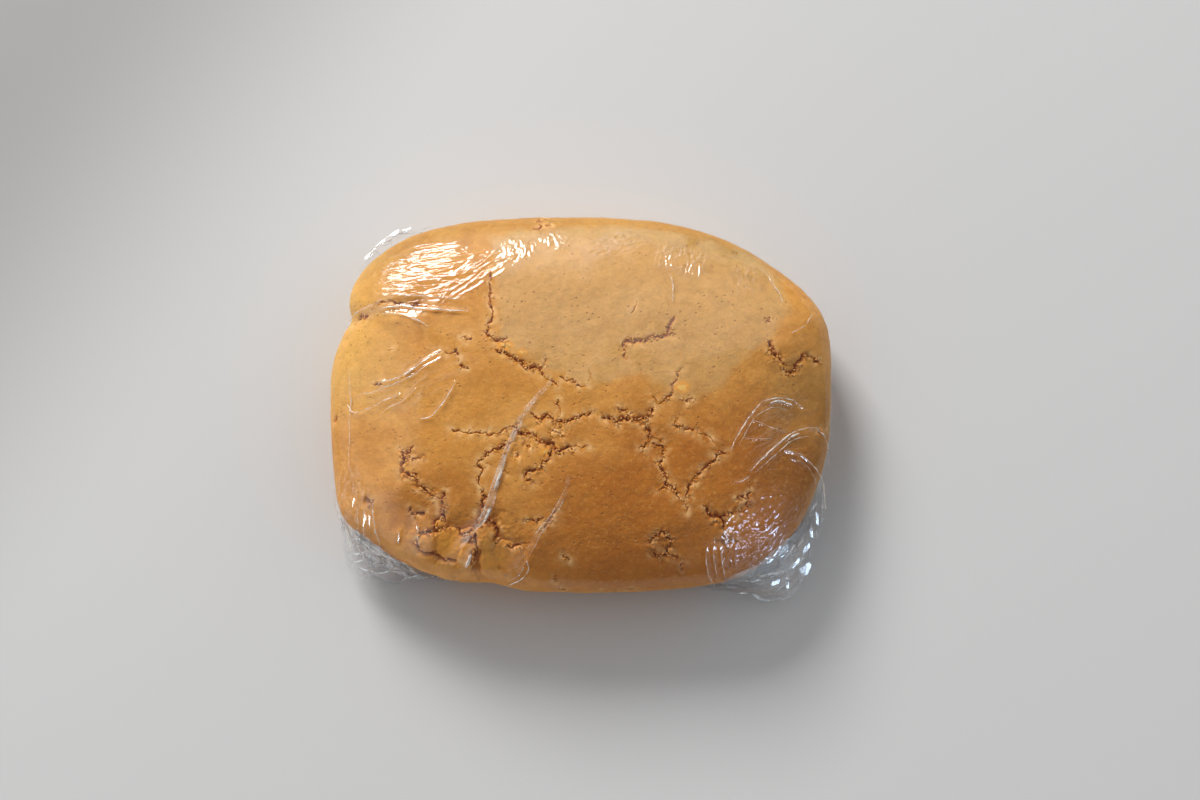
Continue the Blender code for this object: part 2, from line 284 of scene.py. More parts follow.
# Its lumps: middle and half-lengths in mm, turn in degrees, and tone from red-brown to yellow
CRUMB_LUMPS = {
    "upper": ((-33.0, -25.0), (2.3, 3.0), 0, 0.4),
    "small_left": ((-35.4, -28.6), (2.5, 2.2), 10, 0.25),
    "plate": ((-27.0, -25.4), (4.4, 4.6), 0, 0.25),
    "flakes": ((-31.3, -29.3), (1.4, 1.0), 25, 0.5),
    "flake_2": ((-32.6, -30.8), (1.0, 0.8), -15, 0.5),
    "yellow": ((-29.5, -33.1), (3.2, 3.9), 10, 0.6),
    "small_low": ((-34.3, -33.3), (2.4, 2.3), 20, -0.1),
    "red": ((-21.0, -31.9), (2.9, 3.2), 0, -0.4),
    "right": ((-16.2, -36.0), (3.7, 3.3), -20, -0.25),
    "right_upper": ((-13.8, -29.2), (5.0, 4.1), 0, 0.15),
    "below_red": ((-20.5, -38.0), (2.1, 3.2), 0, 0.1),
    "pale": ((-25.8, -36.6), (2.2, 3.5), -12, -0.1),
    "far_left": ((-41.0, -27.7), (5.0, 6.8), 0, 0.2),
    "left_foot": ((-39.4, -35.2), (3.2, 2.6), -30, 0.1),
    "foot_left": ((-35.6, -37.6), (3.2, 2.3), -15, 0.15),
    "foot_middle": ((-30.4, -39.1), (2.9, 2.2), 0, 0.2),
    "foot_right": ((-25.6, -41.2), (2.4, 1.7), 0, 0.1),
    "foot_end": ((-16.6, -40.8), (3.0, 1.8), 0, 0.0),
    "between": ((-37.7, -31.6), (1.5, 1.6), 0, 0.1),
    "under_plate": ((-25.4, -30.9), (1.6, 1.1), 15, -0.2),
}

# Crumbs of a yellower kind: middle and half-lengths in mm
YELLOW_SPOTS = (
    ((-16.7, 11.0), (2.0, 0.9)),
    ((-13.2, 9.4), (1.3, 0.8)),
    ((22.5, 1.5), (1.6, 1.4)),
    ((-8, -13), (1.3, 0.8)),
)

# The outline of the middle of the top, where the film lies loose and mirrors the ceiling, in mm. The dough
# under it is painted paler and less saturated, a painted sheen of that reflection
LOOSE_PATCH = (
    (-19.8, 33.5), (-18.9, 21.3), (-18.6, 11.5), (-9.1, 7.0), (2.0, 1.9), (13.1, 4.8), (22.0, -1.4),
    (30.0, 0.5), (36.5, 7.5), (43.0, 13.5), (46.5, 20.0), (45.5, 27.5), (42.0, 31.5),
    (36.0, 34.8), (29.0, 36.6),
    (20.0, 38.4), (8.0, 39.6), (-4.0, 39.4), (-14.0, 38.2), (-21.0, 36.6),
)
LOOSE_EDGE = 1.1

# The front and the near left, where the film clings and the dough is painted darker and deeper coloured,
# a painted shade: middle and reach in mm
FRONT_SHADE_AREA = ((32, -32), (52, 34))
NEAR_LEFT_SHADE_AREA = ((-30, -25), (18, 11))

# The right end, where the dough is painted darker, a painted shade: middle and reach in mm
RIGHT_END_SHADE_AREA = ((52, -12), (17, 24))

DOUGH_COLOURS = {
    "clinging": (0.705, 0.300, 0.044, 1),
    "clinging_pale": (0.785, 0.360, 0.068, 1),
    # Painted sheen: the paler, less saturated dough under the loose film
    "painted_sheen": (0.765, 0.403, 0.105, 1),
    "painted_sheen_pale": (0.795, 0.436, 0.128, 1),
    "mottle": (0.62, 0.56, 0.48, 1),
    "flour": (0.86, 0.48, 0.13, 1),
    # Partly a painted highlight: the paler lips of the cracks
    "highlit_flaked_lip": (0.92, 0.54, 0.21, 1),
    "yellow_crumb": (1.00, 0.425, 0.045, 1),
    "cream_crumb": (1.00, 0.590, 0.150, 1),
    "red_crumb": (0.62, 0.245, 0.072, 1),
    # Painted shade: the darker, redder colours of the cracks' sides and depths
    "crack_side": (0.62, 0.220, 0.018, 1),
    "crack": (0.44, 0.115, 0.004, 1),
    # Painted sheen on the cracks under the loose film
    "dry_crack": (0.60, 0.290, 0.150, 1),
    "speck": (0.30, 0.11, 0.03, 1),
    # Painted shade in the small pits
    "pit": (0.48, 0.18, 0.040, 1),
}

# Parts of the block that differ: the value that holds how much, the colour, and how it is laid on
DOUGH_PARTS = (
    ("pale_end", (0.860, 0.480, 0.120, 1), "MIX"),
    # painted shade, darker and deeper coloured, at the front and near left
    ("painted_front_shade", (0.71, 0.525, 0.17, 1), "MULTIPLY"),
    # painted shade on the back rim and the right end
    ("painted_rim_shade", (0.76, 0.82, 0.78, 1), "MULTIPLY"),
    # painted bounce light on the front rim
    ("painted_bounce_light", (1.34, 1.32, 1.20, 1), "MULTIPLY"),
)

SEED = 23


def nearness(angle, direction, spread):
    """How near each angle is to a direction, both spread and direction in degrees, from 1 down to 0."""
    turn = (np.degrees(angle) - direction + 180) % 360 - 180
    return np.exp(-((turn / spread) ** 2))


def outline_radius(angle):
    """Distance from the middle to the dough's widest line: a rounded oblong, bulged and dented."""
    across = np.abs(np.cos(angle)) / HALF_WIDTH
    along = np.abs(np.sin(angle)) / HALF_DEPTH
    radius = (across**CORNER_POWER + along**CORNER_POWER) ** (-1 / CORNER_POWER)
    for direction, reach, spread in OUTLINE_BUMPS:
        radius = radius + reach * MM * nearness(angle, direction, spread)
    return radius


def distance_to_path(x, y, path):
    """Distance in the plane from each place to a path of points in mm."""
    nearest = np.full(np.shape(x), np.inf)
    for start, end in zip(path, path[1:]):
        ax, ay = start[0] * MM, start[1] * MM
        dx, dy = end[0] * MM - ax, end[1] * MM - ay
        share = np.clip(((x - ax) * dx + (y - ay) * dy) / (dx * dx + dy * dy), 0, 1)
        nearest = np.minimum(nearest, np.hypot(x - ax - share * dx, y - ay - share * dy))
    return nearest


def away_from(places, middle, reach):
    """How far each place is from the middle of an ellipse given in mm, from 0 to 1 at its edge and on."""
    return np.hypot((places[:, 0] / MM - middle[0]) / reach[0], (places[:, 1] / MM - middle[1]) / reach[1])


def inside_outline(x, y, outline):
    """Distance in mm from each place to a closed outline of points in mm, above zero inside it."""
    inside = np.zeros(np.shape(x), bool)
    x, y = x / MM, y / MM
    for (ax, ay), (bx, by) in zip(outline, outline[1:] + outline[:1]):
        if ay != by:
            inside ^= ((ay > y) != (by > y)) & (x < (bx - ax) * (y - ay) / (by - ay) + ax)
    distance = distance_to_path(x * MM, y * MM, outline + outline[:1]) / MM
    return np.where(inside, distance, -distance)


def loose_share(places):
    """How much each place belongs to the loose patch of the film, from 0 to 1, with an uneven edge."""
    depth = inside_outline(places[:, 0], places[:, 1], LOOSE_PATCH)
    depth += 1.3 * smooth_noise(places, 4 * MM) + 0.6 * smooth_noise(places, 1.5 * MM)
    share = np.clip(0.5 + depth / (2 * LOOSE_EDGE), 0, 1)
    return share * share * (3 - 2 * share)


def smooth_noise(places, size):
    """Soft noise from -1 to 1 at each place, with bumps of the given size."""
    return np.array([noise.noise(Vector(place) / size) for place in places])


def relief(x, y):
    """Height added to the smooth dome by folds, lumps and the slow waves of a hand-pressed surface."""
    height = WAVE_DEPTH * smooth_noise(np.stack([x, y, 0 * x], -1).reshape(-1, 3), WAVE_SIZE).reshape(x.shape)
    for path, depth, half_width in FOLDS:
        height -= depth * MM * np.exp(-((distance_to_path(x, y, path) / (half_width * MM)) ** 2))
    for (cx, cy), rise, radius in LUMPS:
        height += rise * MM * np.exp(-(np.hypot(x - cx * MM, y - cy * MM) / (radius * MM)) ** 2)
    return height


def upper_points(angle, spread, climb):
    """Points of the upper half, from the cube it is rounded from: out by spread, up by climb."""
    size = (spread**TOP_POWER + climb**TOP_POWER) ** (1 / TOP_POWER)
    reach = outline_radius(angle) * spread / size
    x, y = reach * np.cos(angle), reach * np.sin(angle)
    z = WIDEST_AT + ((HEIGHT - WIDEST_AT) + relief(x, y)) * climb / size
    return np.stack([x, y, z], -1)


def foot_shrink(depth):
    """How much narrower the side is below the widest line, from 1 there to FOOT_SHARE at depth 1."""
    return (1 - (1 - FOOT_SHARE**FOOT_POWER) * depth**FOOT_POWER) ** (1 / FOOT_POWER)


def lower_points(angle, depth):
    """Points of the side below the widest line, from 0 there to depth 1 at the base."""
    reach = outline_radius(angle) * foot_shrink(depth)
    height = WIDEST_AT * (1 - depth) + 0 * angle
    return np.stack([reach * np.cos(angle), reach * np.sin(angle), height], -1)


def surface_point(x, y):
    """The point of the top or the upper side that is straight above a place in the plane."""
    share = min(math.hypot(x, y) / outline_radius(math.atan2(y, x)), 0.995)
    rise = (HEIGHT - WIDEST_AT) + relief(np.array([x]), np.array([y]))[0]
    return Vector((x, y, WIDEST_AT + rise * (1 - share**TOP_POWER) ** (1 / TOP_POWER)))


def side_surface_point(direction, height):
    """The point of the side at a direction in degrees and a height in mm."""
    angle = np.array([math.radians(direction)])
    if height * MM < WIDEST_AT:
        return Vector(lower_points(angle, 1 - height * MM / WIDEST_AT)[0])
    climb = (height * MM - WIDEST_AT) / (HEIGHT - WIDEST_AT)
    share = (1 - climb**TOP_POWER) ** (1 / TOP_POWER)
    return Vector(upper_points(angle, share, climb)[0])


def block_mesh(name, cells, rows, base_rings):
    """The closed block as a bmesh: a grid over the top, its rim drawn down in rows, and rings over the base.

    The grid and its rim share one rule, so the faces stay even from the top to the base.
    """
    u = np.linspace(-1, 1, cells[0] + 1)
    v = np.linspace(-1, 1, cells[1] + 1)
    across, along = np.meshgrid(u, v, indexing="ij")
    angle = np.arctan2(along * HALF_DEPTH, across * HALF_WIDTH)
    spread = np.maximum(np.abs(across), np.abs(along))
    places = [upper_points(angle, spread, 1.0).reshape(-1, 3)]
    index = np.arange(across.size).reshape(across.shape)
    faces = np.stack([index[:-1, :-1], index[1:, :-1], index[1:, 1:], index[:-1, 1:]], -1).reshape(-1, 4)
    faces = faces.tolist()

    rim = np.concatenate([index[:-1, 0], index[-1, :-1], index[:0:-1, -1], index[0, :0:-1]])
    rim_angle = angle.reshape(-1)[rim]
    rings = [upper_points(rim_angle, 1.0, 1 - row / rows[0]) for row in range(1, rows[0] + 1)]
    rings += [lower_points(rim_angle, row / rows[1]) for row in range(1, rows[1] + 1)]
    rings += [rings[-1] * (share, share, 1) for share in base_rings]
    above = rim
    for number, ring in enumerate(rings):
        below = index.size + number * rim.size + np.arange(rim.size)
        drawn = np.stack([np.roll(above, -1), above, below, np.roll(below, -1)], -1)
        faces += drawn.tolist()
        places.append(ring)
        above = below
    faces.append(above[::-1].tolist())

    mesh = bpy.data.meshes.new(name)
    mesh.from_pydata(np.concatenate(places).tolist(), [], faces)
    bm = bmesh.new()
    bm.from_mesh(mesh)
    bpy.data.meshes.remove(mesh)
    bmesh.ops.recalc_face_normals(bm, faces=bm.faces)
    return bm


def refine(bm, wanted):
    """Halves the edges whose two ends are both wanted, a test on a point."""
    keep = [wanted(vert.co) for vert in bm.verts]
    bm.verts.index_update()
    edges = [edge for edge in bm.edges if keep[edge.verts[0].index] and keep[edge.verts[1].index]]
    bmesh.ops.subdivide_edges(bm, edges=edges, cuts=1, use_grid_fill=True)


def finder_of(spots):
    """A tree that finds the nearest of some places, and gives its number."""
    tree = kdtree.KDTree(len(spots))
    for number, spot in enumerate(spots):
        tree.insert(spot, number)
    tree.balance()
    return tree


def coordinates(bm):
    """The places and the normals of a bmesh's points, as two arrays."""
    bm.normal_update()
    return np.array([vert.co for vert in bm.verts]), np.array([vert.normal for vert in bm.verts])


def resampled(points, step):
    """The same path in steps of even length, with each step's distance from the start."""
    spots = [points[0].copy()]
    for start, end in zip(points, points[1:]):
        count = max(1, round((end - start).length / step))
        spots += [start.lerp(end, number / count) for number in range(1, count + 1)]
    travelled = np.concatenate([[0], np.cumsum([(b - a).length for a, b in zip(spots, spots[1:])])])
    return spots, travelled


def crack_line(points, half_width, salt):
    """Samples along a crack as (place, half-width, depth): it zigzags, swells and nearly closes again."""
    spots, travelled = resampled(points, CRACK_STEP)
    draw = random.Random(round(SEED + 10 * salt))
    corners = [draw.uniform(-1, 1) for _ in range(int(travelled[-1] / CRACK_CORNERS) + 3)]
    samples = []
    for number, (spot, run) in enumerate(zip(spots, travelled)):
        ahead = spots[min(number + 1, len(spots) - 1)] - spots[max(number - 1, 0)]
        up = Vector((spot.x, spot.y, 3 * spot.z)).normalized()
        aside = ahead.cross(up).normalized()
        corner = int(run / CRACK_CORNERS)
        part = run / CRACK_CORNERS - corner
        sway = corners[corner] * (1 - part) + corners[corner + 1] * part
        sway += 0.5 * noise.noise(Vector((run / (0.6 * MM), salt, 5)))
        ends = min(1.0, min(run, travelled[-1] - run) / (1.2 * MM) + 0.2)
        swell = 0.74 + 0.9 * noise.noise(Vector((run / (2.4 * MM), salt, 9)))
        swell += 0.7 * noise.noise(Vector((run / (0.7 * MM), salt, 19)))
        closed = min(1.0, max(0.0, (swell + 0.1) / 0.45))
        wide = max(CRACK_WIDTH_SHARE * half_width * max(0.25, min(1.5, swell)), CRACK_NARROWEST) * MM * ends
        deep = (CRACK_SHALLOWEST + 1.4 * wide) * (0.2 + 0.8 * closed)
        samples.append((spot + aside * CRACK_WANDER * sway * ends, wide, deep))
    return samples


def all_cracks(rng):
    """Samples of every crack, and of the short spurs that leave it to the sides."""
    lines = [
        (wide, [surface_point(x * MM, y * MM) for x, y in points]) for wide, points in TOP_CRACKS.values()
    ]
    lines += [
        (wide, [side_surface_point(direction, height) for direction, height in points])
        for wide, points in SIDE_CRACKS.values()
    ]
    samples = []
    for salt, (wide, points) in enumerate(lines):
        line = crack_line(points, wide, 3.7 * salt)
        samples += line
        places = [place for place, _, _ in line]
        every = int(SPUR_EVERY / CRACK_STEP)
        for start in range(rng.randrange(2, every), len(places) - 2, every):
            here = places[start + rng.randrange(-2, 3) if 2 < start < len(places) - 3 else start]
            ahead = (places[start + 1] - places[start - 1]).normalized()
            turn = rng.choice((-1, 1)) * rng.uniform(0.7, 1.5)
            away = Vector((
                ahead.x * math.cos(turn) - ahead.y * math.sin(turn),
                ahead.x * math.sin(turn) + ahead.y * math.cos(turn),
                ahead.z,
            ))
            length = rng.uniform(*SPUR_LENGTH)
            spur = crack_line([here, here + away * length], wide * rng.uniform(0.45, 0.8), 3.7 * salt + start)
            samples += spur
    return samples


def crumb_cells(place, size):
    """How deep in the groove between two crumbs a place is, its crumb's own tone, and how far the crumb's
    middle is.
    """
    distances, centres = noise.voronoi(place / size)
    groove = 1 - min(1.0, (distances[1] - distances[0]) / 0.20)
    return groove * groove * (3 - 2 * groove), noise.noise(centres[0] * 7.3), distances[0]


rng = random.Random(SEED)
edge_angles = np.linspace(0, 2 * math.pi, 1441)
edge = outline_radius(edge_angles)

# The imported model's origin is under the middle of its box, and that of the shape rules in the block's middle
_, node_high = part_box(DOUGH_NODE)
BLOCK_SHIFT = Vector((
    node_high.x - (edge * np.cos(edge_angles)).max(),
    node_high.y - (edge * np.sin(edge_angles)).max(),
    0,
))

crack_samples = all_cracks(rng)
crack_tree = finder_of([place for place, _, _ in crack_samples])

dough_bm = block_mesh("dough", DOUGH_CELLS, DOUGH_ROWS, (0.97, 0.8, 0.4))


def in_lumps(place):
    """Whether a place is in the corner that fell apart into lumps."""
    away_x = (place.x / MM - LUMPY_MIDDLE[0]) / LUMPY_REACH[0]
    away_y = (place.y / MM - LUMPY_MIDDLE[1]) / LUMPY_REACH[1]
    return math.hypot(away_x, away_y) < 1.15 and place.z > 5 * MM


for near, lumps_too in REFINED_NEAR:
    refine(dough_bm, lambda place: crack_tree.find(place)[2] < near * MM or (lumps_too and in_lumps(place)))
places, normals = coordinates(dough_bm)
flat_base = places[:, 2] < 0.5 * MM

fine_warp = np.stack([smooth_noise(places + shift, 0.75 * MM) for shift in (0, 0.31, 0.62)], -1)
slow_warp = np.stack([smooth_noise(places + shift, 2.3 * MM) for shift in (0.11, 0.42, 0.73)], -1)
to_crack = np.array([crack_tree.find(place)[2] for place in places])
carved = np.zeros(len(places))
crack_inside_shade = np.zeros(len(places))
lip = np.zeros(len(places))
for number in np.nonzero(to_crack < 3 * MM)[0]:
    place = places[number]
    warped = Vector(place + CRACK_WARP * fine_warp[number])
    for _, index, distance in crack_tree.find_n(warped, 6):
        _, wide, deep = crack_samples[index]
        profile = math.exp(-((distance / wide) ** CRACK_STEEPNESS))
        carved[number] = max(carved[number], deep * profile)
        # The painted shade inside the crack, darkest where it is deep
        dark = math.exp(-((distance / (DARK_REACH * wide)) ** 2)) * min(1.0, deep / DARK_DEPTH)
        crack_inside_shade[number] = max(crack_inside_shade[number], dark)
        lip[number] = max(lip[number], wide * LIP_SHARE * math.exp(-((distance / LIP_REACH) ** 2)))

carved *= 1 - DRY_SHALLOWER * loose_share(places)

crumbled = np.zeros(len(places))
crumb_tone = np.zeros(len(places))
crumb_groove_shade = np.zeros(len(places))
for salt, ((cx, cy), (reach_x, reach_y), size, rise, spread) in enumerate(CRUMBLY):
    away = np.hypot((places[:, 0] - cx * MM) / (reach_x * MM), (places[:, 1] - cy * MM) / (reach_y * MM))
    away += 0.25 * smooth_noise(places, 3 * MM)
    near = np.exp(-((to_crack / (spread * MM)) ** 2))
    share = np.clip((1 - away) / 0.45, 0, 1) * (places[:, 2] > WIDEST_AT) * near
    share[share < 0.02] = 0
    for number in np.nonzero(share > 0)[0]:
        warped = Vector(places[number] + 0.4 * MM * fine_warp[number]) + Vector((0.1 * salt, 0, 0))
        groove, tone, distance = crumb_cells(warped, size * MM)
        crumbled[number] += share[number] * rise * MM * (groove + 0.6 * distance * distance - 0.1)
        crumb_tone[number] += share[number] * tone
        # Painted shade in the grooves between crumbs
        crumb_groove_shade[number] = max(crumb_groove_shade[number], share[number] * (0.2 + 0.8 * groove))

# The lumps: each is a dome that just touches the film, and small crumbs lie between them
lumpy = away_from(places, LUMPY_MIDDLE, LUMPY_REACH)
lumpy = np.clip((1.05 - lumpy - 0.12 * smooth_noise(places, 5 * MM)) / 0.3, 0, 1) * (places[:, 2] > 6 * MM)
for number in np.nonzero(lumpy > 0)[0]:
    warped = places[number] / MM + 0.30 * fine_warp[number] + 0.45 * slow_warp[number]
    groove, tone, distance = crumb_cells(Vector(warped), LUMPY_CRUMB)
    drop, shade = LUMPY_DEPTH + 0.3 * groove, 0.5 * tone
    for (cx, cy), (long, wide), turn, lump_tone in CRUMB_LUMPS.values():
        cosine, sine = math.cos(math.radians(turn)), math.sin(math.radians(turn))
        away_x, away_y = warped[0] - cx, warped[1] - cy
        away_long = abs(away_x * cosine + away_y * sine) / long
        away_wide = abs(away_y * cosine - away_x * sine) / wide
        away = (away_long**LUMP_SQUARENESS + away_wide**LUMP_SQUARENESS) ** (1 / LUMP_SQUARENESS)
        if away < 1:
            sunk = LUMP_ROUNDNESS * min(long, wide) * (1 - (1 - away**LUMP_FLATNESS) ** (1 / LUMP_FLATNESS))
            if sunk < drop:
                drop, shade = sunk, lump_tone
    crumbled[number] += lumpy[number] * drop * MM
    crumb_tone[number] += lumpy[number] * shade
    # Painted shade in the grooves between the lumps, darker where they are sunk deeper
    crumb_groove_shade[number] = max(crumb_groove_shade[number], lumpy[number] * min(1.0, drop / LUMPY_DEPTH) ** 2)
for middle, reach in YELLOW_SPOTS:
    spot_share = np.clip(1.4 - away_from(places, middle, reach) - 0.5 * fine_warp[:, 0], 0, 1)
    crumb_tone = np.maximum(crumb_tone, spot_share * 1.2)

knead = sum(depth * MM * smooth_noise(places, size * MM) for depth, size in KNEAD_MARKS)
grain = (0.035 + 0.07 * lumpy) * MM * fine_warp[:, 0]
depth = FILM_GAP + carved + lip + crumbled - knead - grain + 0.1 * MM
depth = np.where(flat_base, 0, np.maximum(depth, 0.12 * MM))
places = places - normals * depth[:, None]
places[flat_base, 2] = FILM_GAP
places[:, 2] = np.maximum(places[:, 2], FILM_GAP)


def linked(name, data):
    """A new object in the scene with its mesh, lamp or camera."""
    thing = bpy.data.objects.new(name, data)
    bpy.context.scene.collection.objects.link(thing)
    return thing


def mesh_piece(name, bm, places, material):
    """An object in the scene from a bmesh whose points stand at these places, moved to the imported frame."""
    mesh = bpy.data.meshes.new(name)
    bm.to_mesh(mesh)
    bm.free()
    mesh.vertices.foreach_set("co", (places + np.array(BLOCK_SHIFT)).astype(np.float32).ravel())
    mesh.update()
    mesh.shade_smooth()
    mesh.materials.append(material)
    return linked(name, mesh)


def point_value(piece, name, values):
    """Keeps one number for each point of a piece, for its material to read."""
    attribute = piece.data.attributes.new(name, "FLOAT", "POINT")
    attribute.data.foreach_set("value", np.asarray(values, np.float32))


def node(tree, kind, inputs=None, **settings):
    """A node with its settings, each of its inputs linked to a socket or set to a value."""
    made = tree.nodes.new(kind)
    for name, value in settings.items():
        setattr(made, name, value)
    for key, value in (inputs or {}).items():
        if isinstance(value, bpy.types.NodeSocket):
            tree.links.new(value, made.inputs[key])
        else:
            made.inputs[key].default_value = value
    return made


def colour_mix(tree, share, first, second, blend="MIX"):
    """The colour part way from the first to the second, as a socket."""
    mix = node(tree, "ShaderNodeMix", {0: share, 6: first, 7: second}, data_type="RGBA", blend_type=blend)
    return mix.outputs[2]


def maths(tree, operation, first, second=0.0, **settings):
    """One sum or comparison, as a socket."""
    return node(tree, "ShaderNodeMath", {0: first, 1: second}, operation=operation, **settings).outputs[0]


def noise_of(tree, where, size, detail, roughness=0.5, distortion=0.0, output="Fac"):
    """Soft noise with bumps of a size, as a socket."""
    return node(tree, "ShaderNodeTexNoise", {
        "Vector": where,
        "Scale": 1 / size,
        "Detail": detail,
        "Roughness": roughness,
        "Distortion": distortion,
    }).outputs[output]


def cells_of(tree, where, size):
    """The distance to the nearest of many scattered points, in shares of their spacing, as a socket."""
    return node(tree, "ShaderNodeTexVoronoi", {"Vector": where, "Scale": 1 / size}).outputs["Distance"]


def ranged(tree, value, low, high, out_low=0.0, out_high=1.0, curve="SMOOTHSTEP"):
    """A value carried from one range to another and held at its ends, as a socket."""
    return node(tree, "ShaderNodeMapRange", {
        "Value": value, "From Min": low, "From Max": high, "To Min": out_low, "To Max": out_high,
    }, interpolation_type=curve).outputs["Result"]


def value_of(tree, name):
    """The number that a piece keeps under a name for each of its points, as a socket."""
    return node(tree, "ShaderNodeAttribute", attribute_name=name).outputs["Fac"]


def object_place(tree):
    """The place on the object, as a socket."""
    return node(tree, "ShaderNodeTexCoord").outputs["Object"]


def new_look(name, values):
    """A new material with plain values for its shader, and its tree and its shader."""
    material = bpy.data.materials.new(name)
    material.use_nodes = True
    tree = material.node_tree
    shader = tree.nodes["Principled BSDF"]
    for key, value in values.items():
        shader.inputs[key].default_value = value
    return material, tree, shader


def dough_material():
    """Tan dough: blotched where the film clings, red-brown in the cracks, with fine crumb and dark specks.

    Its colour also holds painted light: painted shade in the cracks, pits and grooves, a paler painted sheen
    under the loose film, painted shade at the front, back rim and right end, and painted bounce light on the
    front rim.
    """
    material, tree, shader = new_look("tan dough", {
        "Roughness": 0.66,
        "Specular IOR Level": 0.25,
        "Subsurface Weight": 0.12,
        "Subsurface Radius": (1.0, 0.45, 0.18),
        "Subsurface Scale": 1.2 * MM,
    })
    where = object_place(tree)
    paint = DOUGH_COLOURS
    loose, crack, crumb = (value_of(tree, name) for name in ("loose", "crack", "crumb_tone"))

    blotches = ranged(tree, noise_of(tree, where, 9 * MM, 4.0, 0.6, 0.6), 0.38, 0.64)
    clinging = colour_mix(tree, blotches, paint["clinging"], paint["clinging_pale"])
    painted_sheen = colour_mix(tree, blotches, paint["painted_sheen"], paint["painted_sheen_pale"])
    # Under the loose film the dough is painted paler and less saturated, a painted sheen
    colour = colour_mix(tree, loose, clinging, painted_sheen)
    for name, tint, blend in DOUGH_PARTS:
        colour = colour_mix(tree, value_of(tree, name), colour, tint, blend)
    mottle = ranged(tree, noise_of(tree, where, 2.2 * MM, 5.0, 0.70, 0.4), 0.40, 0.64, 0.0, 0.31)
    colour = colour_mix(tree, mottle, colour, paint["mottle"], "MULTIPLY")

    # The cracks under the loose film are painted paler too, the same painted sheen
    core = colour_mix(tree, loose, paint["crack"], paint["dry_crack"])
    pit = ranged(tree, cells_of(tree, where, 1.5 * MM), 0.08, 0.22, 1.0, 0.0)
    pit = maths(tree, "MULTIPLY", pit, ranged(tree, noise_of(tree, where, 5 * MM, 2.0), 0.42, 0.56))
    layers = (
        (ranged(tree, noise_of(tree, where, 0.9 * MM, 4.0, 0.75), 0.52, 0.66, 0.0, 0.26), paint["flour"]),
        # Paler crack edges: partly flaked dough, partly a painted highlight on their lips
        (value_of(tree, "flaked_and_highlit"), paint["highlit_flaked_lip"]),
        (ranged(tree, crumb, 0.05, 0.9, 0.0, 0.80), paint["yellow_crumb"]),
        (ranged(tree, crumb, 0.85, 1.15), paint["cream_crumb"]),
        (ranged(tree, crumb, -0.05, -0.6, 0.0, 0.55), paint["red_crumb"]),
        # Painted shade in the cracks and the grooves between crumbs, darker and redder with depth
        (ranged(tree, crack, 0.04, 0.45, 0.0, 0.60), paint["crack_side"]),
        (ranged(tree, crack, 0.30, 0.95, 0.0, 0.92), core),
        (ranged(tree, cells_of(tree, where, 3.4 * MM), 0.03, 0.075, 0.55, 0.0), paint["speck"]),
        # Painted shade in the small pits that the bump presses in
        (ranged(tree, pit, 0.0, 1.0, 0.0, 0.5), paint["pit"]),
    )
    for share, layer in layers:
        colour = colour_mix(tree, share, colour, layer)
    tree.links.new(colour, shader.inputs["Base Color"])

    fine = maths(tree, "SUBTRACT", noise_of(tree, where, 0.7 * MM, 5.0, 0.72), pit)
    medium = maths(tree, "MULTIPLY", noise_of(tree, where, 1.9 * MM, 3.0, 0.6), 2.0)
    height = maths(tree, "ADD", fine, medium)
    bump = node(tree, "ShaderNodeBump", {"Height": height, "Strength": 0.85, "Distance": 0.15 * MM})
    tree.links.new(bump.outputs["Normal"], shader.inputs["Normal"])
    return material


def front_shade_share(places):
    """How much painted shade, darker and deeper coloured, each place gets at the front and near left, from 0
    to 1.
    """
    away = away_from(places, *FRONT_SHADE_AREA)
    away += 0.16 * smooth_noise(places, 9 * MM) + 0.05 * smooth_noise(places, 2.5 * MM)
    share = np.clip((1.12 - away) / 0.5, 0, 1)
    away = away_from(places, *NEAR_LEFT_SHADE_AREA) + 0.1 * smooth_noise(places, 5 * MM)
    share = np.maximum(share, 0.58 * np.clip((1 - away) / 0.4, 0, 1))
    return share * np.clip((places[:, 2] / MM - 11) / 8, 0, 1)


def pale_share(places):
    """How much each place belongs to the paler, yellower left end of the block, from 0 to 0.85."""
    inward = places[:, 0] / MM + 0.25 * places[:, 1] / MM + 4 * smooth_noise(places, 11 * MM)
    return 0.85 * (np.clip((-33 - inward) / 14, 0, 1) * np.clip((places[:, 1] / MM + 8) / 12, 0, 1))


def outward_share(places):
    """How far out each place is, from 0 over the middle to 1 at the outline."""
    return np.hypot(places[:, 0], places[:, 1]) / outline_radius(np.arctan2(places[:, 1], places[:, 0]))


def rim_shade_share(places):
    """How much painted shade each place gets on the back rim and the right end, from 0 to 1."""
    back = np.clip((outward_share(places) - 0.77) / 0.16, 0, 1) * np.clip((places[:, 1] / MM - 26) / 6, 0, 1)
    away = away_from(places, *RIGHT_END_SHADE_AREA) + 0.1 * smooth_noise(places, 6 * MM)
    return np.maximum(back, 0.7 * np.clip((1 - away) / 0.45, 0, 1))


def bounce_light_share(places):
    """Painted bounce light on the rim along the front and the near left corner, from 0 to 1 at each place."""
    rim = np.clip((outward_share(places) - 0.74) / 0.14, 0, 1) * np.clip((-places[:, 1] / MM - 20) / 8, 0, 1)
    return rim * (0.58 + 0.42 * np.clip((12 - places[:, 0] / MM) / 24, 0, 1))


# The paler edges of the cracks: partly flaked, floury dough, partly a painted highlight where their lips catch
# the light
flaked_and_highlit = np.exp(-((to_crack / (1.1 * MM)) ** 2)) * np.clip(0.35 + 1.3 * smooth_noise(places, 1.3 * MM), 0, 1)

dough_look = dough_material()
dough = mesh_piece("dough", dough_bm, places, dough_look)
# Painted shade in the cracks and in the grooves between crumbs and lumps
point_value(dough, "crack", np.clip(np.maximum(crack_inside_shade, 0.62 * crumb_groove_shade**2), 0, 1))
point_value(dough, "crumb_tone", crumb_tone)
